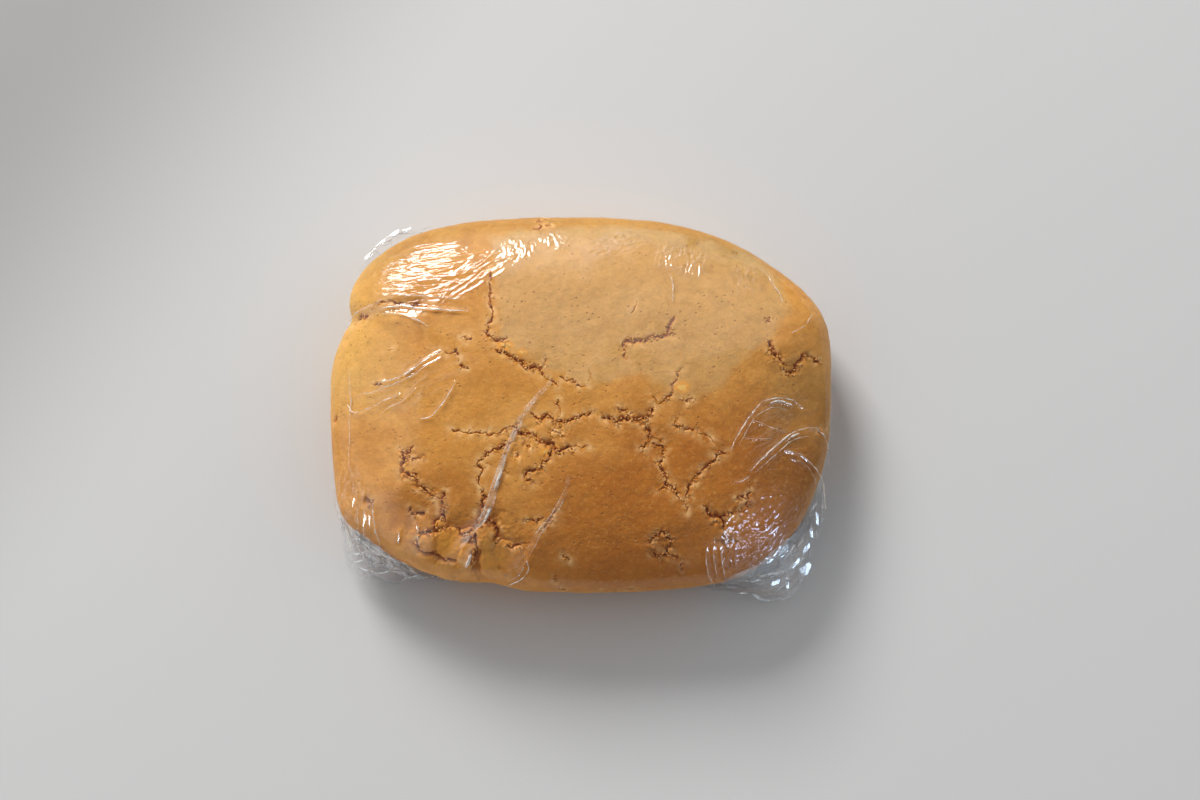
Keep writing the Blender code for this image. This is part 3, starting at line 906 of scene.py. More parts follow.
# Where the dough under the loose film gets its painted sheen
point_value(dough, "loose", loose_share(places))
# Painted shade at the front and near left
point_value(dough, "painted_front_shade", front_shade_share(places))
point_value(dough, "pale_end", pale_share(places))
# Flaked crack edges, partly a painted highlight on their lips
point_value(dough, "flaked_and_highlit", 0.95 * flaked_and_highlit)
# Painted shade on the back rim and the right end
point_value(dough, "painted_rim_shade", rim_shade_share(places))
# Painted bounce light on the front rim
point_value(dough, "painted_bounce_light", bounce_light_share(places))
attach(dough, "root")
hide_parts(DOUGH_NODE)


# THE CRUMBS
# Small crumbs of the same dough that broke off along the cracks. They lie in them and beside them, under the
# film.

CRUMB_COUNT = 900
CRUMB_SIZES = (0.13, 0.36)
CRUMB_SPREAD = 0.85 * MM
CRUMB_BUMP = 0.25 * MM
CRUMB_ROUGHNESS = 0.35 * MM
CRUMB_BURIED = 0.55


def new_tree(name, inputs, output):
    """A new Geometry Nodes tree with named inputs and one output of geometry, and its input sockets."""
    tree = bpy.data.node_groups.new(name, "GeometryNodeTree")
    for socket, kind in inputs.items():
        tree.interface.new_socket(socket, in_out="INPUT", socket_type="NodeSocket" + kind)
    tree.interface.new_socket(output, in_out="OUTPUT", socket_type="NodeSocketGeometry")
    return tree, node(tree, "NodeGroupInput").outputs


def finished(tree, shape, finish, output):
    """Ends a Geometry Nodes tree: its instances are made real and get their material."""
    real = node(tree, "GeometryNodeRealizeInstances", {0: shape}).outputs[0]
    coated = node(tree, "GeometryNodeSetMaterial", {"Geometry": real, "Material": finish}).outputs[0]
    node(tree, "NodeGroupOutput", {output: coated})


def set_inputs(modifier, tree, values):
    """Sets a modifier's inputs by the names that they have in the tree."""
    for item in tree.interface.items_tree:
        if item.item_type == "SOCKET" and item.in_out == "INPUT" and item.name in values:
            modifier[item.identifier] = values[item.name]


def made_plain(piece):
    """Turns a piece with its modifiers into a plain mesh, and removes them."""
    mesh = bpy.data.meshes.new_from_object(piece.evaluated_get(bpy.context.evaluated_depsgraph_get()))
    piece.modifiers.clear()
    piece.data = mesh
    return mesh


def vectors(tree, operation, first, second):
    """One sum of two vectors, as a socket."""
    return node(tree, "ShaderNodeVectorMath", {0: first, 1: second}, operation=operation).outputs[0]


def scaled(tree, vector, scale):
    """A vector made longer or shorter, as a socket."""
    return node(tree, "ShaderNodeVectorMath", {0: vector, "Scale": scale}, operation="SCALE").outputs[0]


def kept_value(tree, name):
    """The number that a piece keeps under a name for each of its points, in a Geometry Nodes tree."""
    kept = node(tree, "GeometryNodeInputNamedAttribute", {"Name": name}, data_type="FLOAT")
    return kept.outputs["Attribute"]


def crumb_tree():
    """A Geometry Nodes tree that puts a rough crumb of dough on each point, as large as its value "size"."""
    tree, given = new_tree("loose crumbs", {
        "Spots": "Geometry", "Seed": "Int", "Bump": "Float", "Finish": "Material",
    }, "Crumbs")

    def drawn_between(low, high):
        ends = {0: low, 1: high, "Seed": given["Seed"]}
        return node(tree, "FunctionNodeRandomValue", ends, data_type="FLOAT_VECTOR").outputs[0]

    ball = node(tree, "GeometryNodeMeshIcoSphere", {"Radius": 1.0, "Subdivisions": 1}).outputs[0]
    scale = scaled(tree, drawn_between((0.75, 0.75, 0.55), (1.35, 1.15, 0.9)), kept_value(tree, "size"))
    crumbs = node(tree, "GeometryNodeInstanceOnPoints", {
        "Points": given["Spots"],
        "Instance": ball,
        "Rotation": drawn_between((0.0, 0.0, 0.0), (0.5, 0.5, 6.28)),
        "Scale": scale,
    }).outputs[0]
    real = node(tree, "GeometryNodeRealizeInstances", {0: crumbs}).outputs[0]
    where = node(tree, "GeometryNodeInputPosition").outputs[0]
    rough = noise_of(tree, where, CRUMB_ROUGHNESS, 1.0, output="Color")
    offset = scaled(tree, vectors(tree, "SUBTRACT", rough, (0.5, 0.5, 0.5)), given["Bump"])
    shaped = node(tree, "GeometryNodeSetPosition", {"Geometry": real, "Offset": offset}).outputs[0]
    finished(tree, shaped, given["Finish"], "Crumbs")
    return tree


spots, sizes = [], []
on_top = [sample for sample in crack_samples if sample[0].z > 17 * MM]
while len(spots) < CRUMB_COUNT:
    place, wide, _ = rng.choice(on_top)
    if wide < 0.13 * MM:
        continue
    size = rng.uniform(*CRUMB_SIZES) * rng.uniform(0.6, 1.0) * MM
    x, y = place.x + rng.gauss(0, 0.5) * CRUMB_SPREAD, place.y + rng.gauss(0, 0.5) * CRUMB_SPREAD
    spots.append(surface_point(x, y) - Vector((0, 0, FILM_GAP + CRUMB_BURIED * size)) + BLOCK_SHIFT)
    sizes.append(size)
crumb_mesh = bpy.data.meshes.new("crumbs")
crumb_mesh.from_pydata([tuple(spot) for spot in spots], [], [])
crumbs = linked("crumbs", crumb_mesh)
spot_places = np.array([spot - BLOCK_SHIFT for spot in spots])
point_value(crumbs, "size", sizes)
# The crumbs take the dough's painted sheen and painted front shade where they lie
point_value(crumbs, "loose", loose_share(spot_places))
point_value(crumbs, "painted_front_shade", front_shade_share(spot_places))
point_value(crumbs, "pale_end", pale_share(spot_places))
point_value(crumbs, "flaked_and_highlit", [rng.uniform(0, 0.6) for _ in spots])
point_value(crumbs, "crumb_tone", [rng.uniform(-0.5, 0.15) for _ in spots])
modifier = crumbs.modifiers.new("crumbs", "NODES")
modifier.node_group = crumb_tree()
set_inputs(modifier, modifier.node_group, {"Seed": SEED, "Bump": CRUMB_BUMP, "Finish": dough_look})
made_plain(crumbs).shade_smooth()
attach(crumbs, "root")
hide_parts(DOUGH_NODE)


# THE FILM
# Clear cling film, a hundredth of a millimetre thick, drawn tight round the dough. It bridges the cracks, and
# hangs away from the dough at three lower corners, where it was gathered.

# Pockets of gathered film: direction in degrees, reach in mm, spread in degrees, height in mm
FILM_POCKETS = (
    (139, 4.6, 12, 16),
    (217, 8.5, 9, 17),
    (318, 10.5, 9, 18),
    (333, 3.5, 9, 18),
)
POCKET_FOOT = 4
FOOT_TUCK = 0.3
LOOSE_AT = 3 * MM

# The share of light that the film mirrors where it faces the eye: where it clings, in the loose patch on top,
# low at the front, and in the pockets, where it lies several times over itself, and the share at a slant
CLINGING_MIRROR = 0.055
LOOSE_MIRROR = 0.11
FRONT_MIRROR = 0.03
POCKET_MIRROR = 0.22
LEFT_POCKET_MIRROR = 0.12
SLANT_MIRROR = 0.20

# Slow waves of the film over the top
FILM_WAVE = 0.14 * MM
FILM_WAVE_SIZE = 6.5 * MM

FILM_CELLS = (100, 78)
FILM_ROWS = (20, 10)

# Fans of wrinkles: middle in mm, heading in degrees, reach along, across and up in mm,
# spacing and depth in mm, how many times longer than wide a wrinkle is, sharpness, seed
WRINKLE_FANS = {
    "upper_left_fan": ((-37, 28, 25), 6, (18, 12, 9), 1.25, 0.24, 8.0, 2.6, 1),
    "upper_left_stripe": ((-25, 27, 25), 35, (16, 5, 8), 1.3, 0.18, 4.0, 2.0, 2),
    "back_left_ticks": ((-14, 34, 24), 85, (4, 4.5, 7), 1.1, 0.22, 5.0, 2.0, 3),
    "back_ticks": ((-6, 36, 24), 85, (4, 5, 7), 1.1, 0.17, 5.0, 2.0, 4),
    "back_middle": ((8, 35, 24), 20, (9, 5, 7), 1.7, 0.12, 2.0, 1.5, 15),
    "back_right_patch": ((23, 31, 24), 75, (6, 9, 7), 1.3, 0.15, 3.0, 1.6, 5),
    "finger_ripples": ((38, 27, 24), 100, (5, 8, 7), 1.0, 0.12, 6.0, 1.2, 6),
    "left_striations": ((-36, 3, 25), 25, (15, 8, 8), 1.5, 0.07, 12.0, 3.0, 7),
    "left_edge": ((-52, -24, 16), 75, (14, 8, 14), 1.6, 0.32, 5.0, 3.0, 8),
    "right_loops": ((45, -8, 22), 35, (14, 12, 14), 2.4, 0.18, 6.0, 3.0, 9),
    "lower_right_lines": ((32, -38, 12), 95, (9, 8, 14), 1.3, 0.32, 6.0, 3.0, 10),
    "lower_right_glints": ((41, -29, 18), 52, (16, 13, 14), 0.95, 0.34, 3.6, 1.2, 11),
    "right_pocket": ((48, -38, 7), 40, (16, 15, 14), 2.6, 0.22, 2.4, 2.0, 12),
    "left_pocket": ((-48, -36, 7), 140, (14, 13, 13), 2.6, 0.18, 2.4, 2.0, 13),
    "upper_left_pocket": ((-45, 36, 8), 50, (11, 10, 12), 2.0, 0.30, 2.4, 1.8, 14),
}

# Crumpled sides of the pockets: first and last direction in degrees, lowest and highest place,
# distance between the corners of the creases and how far they stand in or out, all in mm
CRUMPLES = {
    "near_left": (203, 232, 0, 17, 5.2, 0.7),
    "near_right": (303, 345, 0, 18, 5.0, 1.1),
    "far_left": (126, 152, 0, 16, 4.6, 0.7),
}
MM_PER_DEGREE = 1.08
CRUMPLED_AT = 2.0 * MM

# Creases over the dough: half-width in mm, whiteness, then the points that each runs through in mm
PRESSED_CREASES = {
    # The next four are painted highlights: lines of whiter film drawn where the film glints
    "long_pleat_painted_glint": (0.32, 1.15, ((-19.9, -24.6), (-20.5, -26.4), (-21.4, -28.6))),
    "long_pleat_painted_glint_2": (0.30, 1.15, ((-17.6, -17.2), (-18.5, -19.6), (-19.3, -21.8))),
    "right_loop_top_painted_glint": (0.26, 0.95, ((42.0, -1.7), (44.5, -1.0), (47.5, -1.7))),
    "right_loop_mid_painted_glint": (0.24, 0.95, ((46.4, -9.8), (47.7, -8.6), (49.2, -8.0))),
    "right_loop_1_inner": (0.08, 0.45, (
        (35.0, -11.5), (37.2, -7.3), (39.5, -4.2), (43.0, -2.6), (46.5, -2.8),
    )),
    "right_loop_2_inner": (0.09, 0.50, (
        (38.6, -17.2), (42.0, -14.4), (45.6, -11.2), (48.5, -9.2), (51.5, -8.6),
    )),
    "right_loop_3_inner": (0.08, 0.45, (
        (46.5, -13.6), (50.0, -14.8), (52.2, -17.0), (53.4, -20.0), (53.6, -24.0),
    )),
    # A painted highlight: the bright drop at the long pleat's end
    "long_pleat_painted_drop": (0.36, 1.0, ((-24.3, -35.2), (-24.9, -36.6), (-25.6, -38.2))),
    "long_pleat_left": (0.09, 0.4, (
        (-6.8, 3), (-11.3, -2), (-13.8, -6), (-17.0, -13), (-19.2, -19), (-21.9, -26.5),
        (-24.9, -30), (-27.6, -33.6),
    )),
    "long_pleat_right": (0.11, 0.5, (
        (-6.2, 2.6), (-10.8, -2.2), (-13.2, -6), (-16.2, -13), (-17.9, -19), (-20.1, -26.5),
        (-23.2, -30.2), (-26.4, -34),
    )),
    "second_pleat_left": (0.07, 0.30, (
        (-2.8, -18), (-4, -22), (-6.5, -26.5), (-10.1, -31), (-13.7, -37), (-17.7, -40.8),
    )),
    "second_pleat_right": (0.07, 0.25, (
        (-2.2, -18), (-3.1, -22), (-5.5, -26.7), (-8.9, -31.2), (-12.2, -37.2), (-15.6, -41.2),
    )),
    "second_loop": (0.14, 0.8, (
        (-12, -36.5), (-11.6, -38.6), (-13, -40.4), (-15.2, -41.6), (-17.4, -42.2),
    )),
    "second_loop_inner": (0.10, 0.7, ((-12.6, -38), (-13.8, -39.8), (-16, -41))),
    "left_arc_1": (0.20, 0.6, ((-45.5, 3), (-42.5, 3.4), (-39.5, 4.5), (-37, 6), (-35, 7.5), (-31.5, 9.5))),
    "left_arc_2": (0.13, 0.5, ((-45.5, 1.5), (-42.5, 2.2), (-39.5, 3.5), (-37, 4.6), (-35, 6), (-31.5, 8))),
    "left_arc_3": (0.18, 0.55, ((-36, -5.5), (-33.5, -5), (-31, -2.5), (-29, 0.5), (-28, 2.5))),
    "left_arc_4": (0.20, 0.6, ((-53, -1.5), (-51, -3.5), (-47, -2.5), (-43.5, -1), (-40.5, 0))),
    "left_arc_5": (0.12, 0.4, ((-50, 0.5), (-46.5, 1), (-43, 2.2))),
    "left_arc_6": (0.12, 0.4, ((-45, -4.5), (-42.5, -2.5), (-40, -1.5), (-37, 1))),
    "film_edge_left": (0.12, 0.45, (
        (-52.5, 7), (-52.3, 3), (-52, -0.5), (-52.2, -4), (-52, -8.5), (-52.3, -12), (-52, -16.5),
    )),
    "right_loop_1": (0.16, 0.6, (
        (33, -12.5), (35.5, -8), (37.5, -5), (40.5, -1.5), (43.5, -0.5), (47, -0.5), (50, -2),
    )),
    "right_loop_1_low": (0.10, 0.4, ((37.5, -5.5), (41, -6.5), (44, -7.5), (47, -8))),
    "right_loop_1_mid": (0.10, 0.35, ((35.5, -9.5), (39, -9.8), (43, -9.5))),
    "right_loop_2": (0.19, 0.65, ((37.5, -17), (41, -13.5), (45.5, -9.5), (48.5, -7.5), (53.5, -6.5))),
    "right_loop_2_end": (0.16, 0.6, ((53, -6.5), (55, -8.3), (56, -10), (56.5, -14.5))),
    "right_loop_3": (0.16, 0.6, (
        (45.5, -12), (49.5, -13), (52.5, -15.5), (54.2, -17.2), (55, -19), (55.5, -25),
    )),
    "right_short": (0.14, 0.5, ((33.5, -19.5), (35.5, -19.2), (37.5, -18.2))),
    "right_rise": (0.12, 0.4, ((47, 14), (50.5, 16.5), (52.5, 19.5))),
    "back_right_line": (0.13, 0.5, ((20.4, 20.5), (20.6, 24), (20.4, 27))),
    "back_right_fold": (0.15, 0.55, ((42.5, 28.5), (43.5, 26), (45, 23.5), (45.6, 21.5))),
    "fold_upper_1": (0.16, 0.65, ((-54.5, 18.5), (-52.5, 19), (-50.5, 20), (-45.5, 21.5))),
    "fold_upper_2": (0.24, 0.95, ((-46, 19.9), (-41, 20.4), (-36.5, 19.7), (-31, 19.2), (-25, 18.6))),
    "fold_upper_3": (0.18, 0.8, ((-45, 18.8), (-41, 18.6), (-37, 17), (-34, 15.2))),
    "fold_upper_4": (0.12, 0.5, ((-43, 22.8), (-37, 22.6), (-31, 22), (-26.5, 21.3))),
    "front_left_rise": (0.15, 0.55, ((-37.5, -27), (-36.2, -28.8), (-36.4, -31), (-36, -33.4))),
    # A painted highlight where the film glints
    "front_left_painted_glint": (0.17, 0.9, ((-40.6, -30.4), (-40.7, -31.6), (-40.8, -32.8))),
    "near_left_1": (0.15, 0.65, ((-53, -25), (-53, -28), (-52.8, -31), (-52, -34.4))),
    "near_left_2": (0.16, 0.65, ((-46.5, -23), (-46.4, -26.5), (-46, -30), (-45.2, -34), (-44.6, -37))),
    "near_left_3": (0.12, 0.55, ((-49.5, -23.5), (-50, -26.5), (-50.6, -30), (-50.8, -33))),
    "near_left_4": (0.11, 0.55, ((-48.3, -24.5), (-48.8, -28), (-49.2, -32))),
    "near_right_1": (0.14, 0.6, ((27.6, -34.5), (27.8, -37.5), (28.6, -40), (30, -42))),
    "near_right_2": (0.12, 0.55, ((29.2, -34.3), (29.6, -37.2), (30.6, -40.2))),
    "near_right_3": (0.14, 0.65, ((31, -34.5), (31.4, -37.5), (32.4, -41))),
    "near_right_4": (0.11, 0.5, ((34.8, -33.8), (34.2, -36.5), (35.6, -39.8))),
    "near_right_5": (0.10, 0.5, ((39, -34.5), (38, -37), (37.6, -39.5))),
}

CREASE_LIFT = 0.16 * MM
CREASE_RISE = 1.5

# How far from a pressed crease the film rises and its mesh is divided
RISE_REACH = 0.42 * MM
RISE_END = 1.6 * MM
DIVIDED_NEAR = 1.2 * MM

# Where the film's waves and creases begin on the way up the side, and where they are full
RISING_FROM = 14 * MM
RISING_OVER = 6 * MM

# The depth of wrinkle that has the finest streaks at their full strength
STREAKED_DEPTH = 0.24 * MM


def smooth_path(points):
    """A smooth curve through points, as places close together."""
    ends = [2 * points[0] - points[1], *points, 2 * points[-1] - points[-2]]
    path = []
    for before, start, end, after in zip(ends, ends[1:], ends[2:], ends[3:]):
        for number in range(6):
            t = number / 6
            path.append(0.5 * (
                2 * start + (end - before) * t + (2 * before - 5 * start + 4 * end - after) * t * t
                + (3 * start - before - 3 * end + after) * t * t * t
            ))
    return path + [points[-1]]


def pressed_path(points, lift):
    """The path of a crease over the dough: smooth, and just above the film."""
    flat = smooth_path([Vector((x * MM, y * MM, 0)) for x, y in points])
    return [surface_point(place.x, place.y) + Vector((0, 0, lift)) for place in flat]


def pocket_reach(angle, height):
    """How far the gathered film stands out from the dough at a direction and a height."""
    reach = 0 * angle
    for direction, out, spread, top in FILM_POCKETS:
        climb = (height / MM - POCKET_FOOT) / (top - POCKET_FOOT)
        tuck = FOOT_TUCK * np.maximum(0, 1 - height / MM / POCKET_FOOT) ** 2
        reach = reach + out * MM * nearness(angle, direction, spread) * (1 - np.clip(climb, 0, 1) - tuck)
    return reach


def in_fan(place, part):
    """Whether a place is inside this part of the reach of one of the wrinkle fans."""
    for (x, y, z), heading, reach, *_ in WRINKLE_FANS.values():
        cosine, sine = math.cos(math.radians(heading)), math.sin(math.radians(heading))
        away_x, away_y = place.x / MM - x, place.y / MM - y
        along = (away_x * cosine + away_y * sine) / reach[0]
        across = (away_y * cosine - away_x * sine) / reach[1]
        if along**2 + across**2 + ((place.z / MM - z) / reach[2]) ** 2 < part**2:
            return True
    return False


def crumple_net(draw, first, last, low, high, spacing, push):
    """Corners and triangles of a crumpled strip, laid out flat: along and up in mm, and in or out in mm."""
    left, right = first * MM_PER_DEGREE, last * MM_PER_DEGREE
    corners = []
    for _ in range(4000):
        spot = Vector((draw.uniform(left, right), draw.uniform(low, high)))
        if all((spot - other).length > 0.72 * spacing for other in corners):
            corners.append(spot)
    frame_corners = [Vector((x, y)) for x in (left - 2, right + 2) for y in (low - 1, high + 2)]
    spots, _, triangles, *_ = delaunay_2d_cdt(corners + frame_corners, [], [], 0, 1e-5)
    pushes = [draw.uniform(-1, 1) * push for _ in spots]
    return [Vector((spot.x, spot.y, out)) for spot, out in zip(spots, pushes)], triangles


def crumpled_out(direction, height):
    """How far the crumple of a pocket stands out or in, in metres, at directions in degrees and heights."""
    result = np.zeros(len(direction))
    for number, (turn, up) in enumerate(zip(direction, height)):
        for _, tree in crumple_sheets.values():
            hit = tree.ray_cast(Vector((turn * MM_PER_DEGREE, up / MM, 9)), Vector((0, 0, -1)))[0]
            if hit:
                result[number] = hit.z * MM
    return result


def film_reach(direction, height, bare):
    """Distance from the middle to the film, at a place where the bare dough's side stands this far out."""
    angle = np.radians(direction)
    out = pocket_reach(angle, height)
    loose = np.clip(out / LOOSE_AT, 0, 1) * (height < WIDEST_AT)
    reach = bare + out + (outline_radius(angle) - bare) * loose
    return reach + crumpled_out(direction, height) * np.clip(out / CRUMPLED_AT, 0, 1)


def bare_reach(direction, height):
    """Distance from the middle to the dough's side at directions in degrees and heights in metres."""
    shrink = foot_shrink(np.clip(1 - height / WIDEST_AT, 0, 1))
    climb = np.clip((height - WIDEST_AT) / (HEIGHT - WIDEST_AT), 0, 1)
    share = (1 - climb**TOP_POWER) ** (1 / TOP_POWER)
    return outline_radius(np.radians(direction)) * np.where(height < WIDEST_AT, shrink, share)


def film_place(direction, height, share=1.0):
    """The film's place at a direction in degrees and a height in mm, or part way to it from the dough."""
    where = np.array([direction]), np.array([max(height, 0.05) * MM])
    bare = bare_reach(*where)
    reach = (bare + (film_reach(*where, bare) - bare) * share)[0]
    angle = math.radians(direction)
    return Vector((reach * math.cos(angle), reach * math.sin(angle), where[1][0]))


def pocket_place(x, y):
    """The place of the gathered film straight above a place in mm, or its edge if the place is beyond it."""
    heights = np.linspace(0.4, 15, 74) * MM
    directions = np.full(len(heights), math.degrees(math.atan2(y, x)) % 360)
    reach = film_reach(directions, heights, bare_reach(directions, heights))
    wide_enough = np.nonzero(reach >= math.hypot(x, y) * MM)[0]
    row = wide_enough[-1] if len(wide_enough) else int(np.argmax(reach))
    return film_place(directions[0], heights[row] / MM)


def put_back(bm, places):
    """Moves the points of a bmesh to these places."""
    for vert, place in zip(bm.verts, places):
        vert.co = place


pressed = [
    (pressed_path(points, CREASE_LIFT), wide, white) for wide, white, points in PRESSED_CREASES.values()
]
crease_samples = [(spot, wide) for path, wide, _ in pressed for spot in resampled(path, 0.3 * MM)[0]]
crease_rises = [CREASE_RISE * wide * MM for _, wide in crease_samples]
crease_spots = finder_of([spot for spot, _ in crease_samples])

crumple_rng = random.Random(SEED + 1)
crumple_sheets = {}
for name, strip in CRUMPLES.items():
    corners, triangles = crumple_net(crumple_rng, *strip)
    crumple_sheets[name] = (corners, triangles), BVHTree.FromPolygons(corners, triangles)

film_bm = block_mesh("film", FILM_CELLS, FILM_ROWS, (0.98, 0.94, 0.88, 0.8, 0.7, 0.58, 0.44, 0.28, 0.12))
places, normals = coordinates(film_bm)
angles = np.arctan2(places[:, 1], places[:, 0])
reach = np.hypot(places[:, 0], places[:, 1])
base = places[:, 2] < 0.2 * MM
out = pocket_reach(angles, places[:, 2])
moved = np.where(base, reach / (outline_radius(angles) * FOOT_SHARE) * out, 0)
places[:, 0] += moved * np.cos(angles)
places[:, 1] += moved * np.sin(angles)
put_back(film_bm, places)
refine(film_bm, lambda place: in_fan(place, 1.0) or crease_spots.find(place)[2] < DIVIDED_NEAR)
refine(film_bm, lambda place: in_fan(place, 0.8))

places, normals = coordinates(film_bm)
waves = FILM_WAVE * (0.6 + smooth_noise(places, FILM_WAVE_SIZE) + 0.35 * smooth_noise(places, 2.6 * MM))
rising = np.clip((places[:, 2] - RISING_FROM) / RISING_OVER, 0, 1)
ridge = np.zeros(len(places))
for number in np.nonzero(places[:, 2] > 12 * MM)[0]:
    _, index, distance = crease_spots.find(places[number])
    if distance < RISE_END:
        ridge[number] = crease_rises[index] * math.exp(-((distance / RISE_REACH) ** 2))
places += normals * (waves * rising + ridge * rising)[:, None]
put_back(film_bm, places)
places, _ = coordinates(film_bm)
angles = np.arctan2(places[:, 1], places[:, 0])
directions = np.degrees(angles) % 360
reach = np.hypot(places[:, 0], places[:, 1])
hanging = (places[:, 2] < HEIGHT - 4 * MM) & (places[:, 2] > 0.2 * MM)
hanging &= pocket_reach(angles, places[:, 2]) > 0
new_reach = reach.copy()
new_reach[hanging] = film_reach(directions[hanging], places[hanging, 2], reach[hanging])
places[:, 0] *= new_reach / reach
places[:, 1] *= new_reach / reach


def wrinkle_tree():
    """A Geometry Nodes tree that raises stretched, sharp-topped wrinkles on the film round one place.

    It keeps how strong the wrinkles are in the value "crease", and in "fan_place" and "fan_share" where its
    finest streaks lie and how deep they are. The film's material reads all three.
    """
    tree, given = new_tree("film wrinkles", {
        "Film": "Geometry",
        "Middle": "Vector",
        "Heading": "Float",
        "Reach": "Vector",
        "Spacing": "Float",
        "Depth": "Float",
        "Stretch": "Float",
        "Sharpness": "Float",
        "Seed": "Float",
        "Finish": "Material",
    }, "Film")

    def joined(x, y, z=0.0):
        return node(tree, "ShaderNodeCombineXYZ", {"X": x, "Y": y, "Z": z}).outputs[0]

    def stored(shape, name, value, kind="FLOAT", chosen=True):
        inputs = {"Geometry": shape, "Selection": chosen, "Name": name, "Value": value}
        made = node(tree, "GeometryNodeStoreNamedAttribute", inputs, data_type=kind, domain="POINT")
        return made.outputs[0]

    where = node(tree, "GeometryNodeInputPosition").outputs[0]
    offset = vectors(tree, "SUBTRACT", where, given["Middle"])
    back = maths(tree, "MULTIPLY", given["Heading"], -1.0)
    turned = node(tree, "ShaderNodeVectorRotate", {"Vector": offset, "Angle": back}).outputs[0]
    shares = vectors(tree, "DIVIDE", turned, given["Reach"])
    away = node(tree, "ShaderNodeVectorMath", {0: shares}, operation="LENGTH").outputs["Value"]
    share = ranged(tree, away, 1.0, 0.35)

    along = maths(tree, "MULTIPLY", given["Spacing"], given["Stretch"])
    cell = joined(along, given["Spacing"], given["Spacing"])
    sample = vectors(tree, "ADD", vectors(tree, "DIVIDE", turned, cell), joined(given["Seed"], given["Seed"]))
    valley = maths(tree, "ABSOLUTE", maths(tree, "SUBTRACT", noise_of(tree, sample, 1.0, 1.0, 0.4), 0.5))
    ridge = maths(tree, "MAXIMUM", maths(tree, "SUBTRACT", 1.0, maths(tree, "MULTIPLY", valley, 5.0)), 0.0)
    strength = maths(tree, "MULTIPLY", maths(tree, "POWER", ridge, given["Sharpness"]), share)
    normal = node(tree, "GeometryNodeInputNormal").outputs[0]
    push = scaled(tree, normal, maths(tree, "MULTIPLY", strength, given["Depth"]))
    raised = node(tree, "GeometryNodeSetPosition", {"Geometry": given["Film"], "Offset": push}).outputs[0]

    inside = maths(tree, "GREATER_THAN", share, 0.04)
    stretched = vectors(tree, "DIVIDE", turned, joined(given["Stretch"], 1.0, 1.0))
    fineness = maths(tree, "MULTIPLY", share, maths(tree, "DIVIDE", given["Depth"], STREAKED_DEPTH))
    shape = stored(raised, "crease", maths(tree, "MAXIMUM", kept_value(tree, "crease"), strength))
    shape = stored(shape, "fan_place", stretched, "FLOAT_VECTOR", inside)
    shape = stored(shape, "fan_share", fineness, chosen=inside)
    finished(tree, shape, given["Finish"], "Film")
    return tree


def film_material():
    """Clear film: it mirrors a little of the light, more at a slant and on creases, and lets the rest on."""
    material, tree, shader = new_look("clear film", {
        "Base Color": (0.98, 0.985, 1.0, 1),
        "Metallic": 1.0,
        "Roughness": 0.07,
    })
    slant = node(tree, "ShaderNodeLayerWeight", {"Blend": 0.5}).outputs["Facing"]
    steep = maths(tree, "POWER", slant, 5.0)
    mirrored = ranged(tree, steep, 0.0, 1.0, value_of(tree, "mirror"), SLANT_MIRROR, "LINEAR")
    haze = maths(tree, "MULTIPLY", value_of(tree, "crease"), 0.10)
    tree.links.new(maths(tree, "ADD", mirrored, haze, use_clamp=True), shader.inputs["Alpha"])

    ripples = noise_of(tree, object_place(tree), 2.2 * MM, 2.0, 0.6)
    bump = node(tree, "ShaderNodeBump", {"Height": ripples, "Strength": 0.35, "Distance": 0.10 * MM})
    fan_place = node(tree, "ShaderNodeAttribute", attribute_name="fan_place").outputs["Vector"]
    fine_bump = node(tree, "ShaderNodeBump", {
        "Height": noise_of(tree, fan_place, 0.85 * MM, 2.0, 0.6),
        "Strength": value_of(tree, "fan_share"),
        "Distance": 0.30 * MM,
        "Normal": bump.outputs["Normal"],
    })
    tree.links.new(fine_bump.outputs["Normal"], shader.inputs["Normal"])
    return material


film_look = film_material()
film = mesh_piece("film", film_bm, places, film_look)
point_value(film, "crease", np.zeros(len(places)))
point_value(film, "fan_share", np.zeros(len(places)))
mirror = CLINGING_MIRROR + (LOOSE_MIRROR - CLINGING_MIRROR) * loose_share(places)
front = np.clip((-places[:, 1] / MM - 24) / 10, 0, 1) * (places[:, 2] < 16 * MM)
mirror = mirror + (FRONT_MIRROR - mirror) * front
gathered = np.clip(pocket_reach(angles, places[:, 2]) / (3 * MM), 0, 1)
pocket_mirror = np.where(places[:, 0] < 0, LEFT_POCKET_MIRROR, POCKET_MIRROR)
point_value(film, "mirror", mirror + (pocket_mirror - mirror) * gathered)
wrinkles = wrinkle_tree()
for name, (middle, heading, reach, spacing, rise, stretch, sharpness, seed) in WRINKLE_FANS.items():
    modifier = film.modifiers.new(name, "NODES")
    modifier.node_group = wrinkles
    set_inputs(modifier, wrinkles, {
        "Middle": Vector(middle) * MM + BLOCK_SHIFT,
        "Heading": math.radians(heading),
        "Reach": Vector(reach) * MM,
        "Spacing": spacing * MM,
        "Depth": rise * MM,
        "Stretch": stretch,
        "Sharpness": sharpness,
        "Seed": 3.1 * seed,
        "Finish": film_look,
    })
wrinkled = made_plain(film)
resting = np.empty(len(wrinkled.vertices) * 3, np.float32)
wrinkled.vertices.foreach_get("co", resting)
resting[2::3] = np.maximum(resting[2::3], 0)
wrinkled.vertices.foreach_set("co", resting)
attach(film, "root")
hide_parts(DOUGH_NODE)


# THE CREASES
# Where the film was folded over itself or pinched, it is whiter and catches the light. These are the edges of
# folds pressed on the dough, two long pleats across it, and the net of sharp creases in the loose pockets.

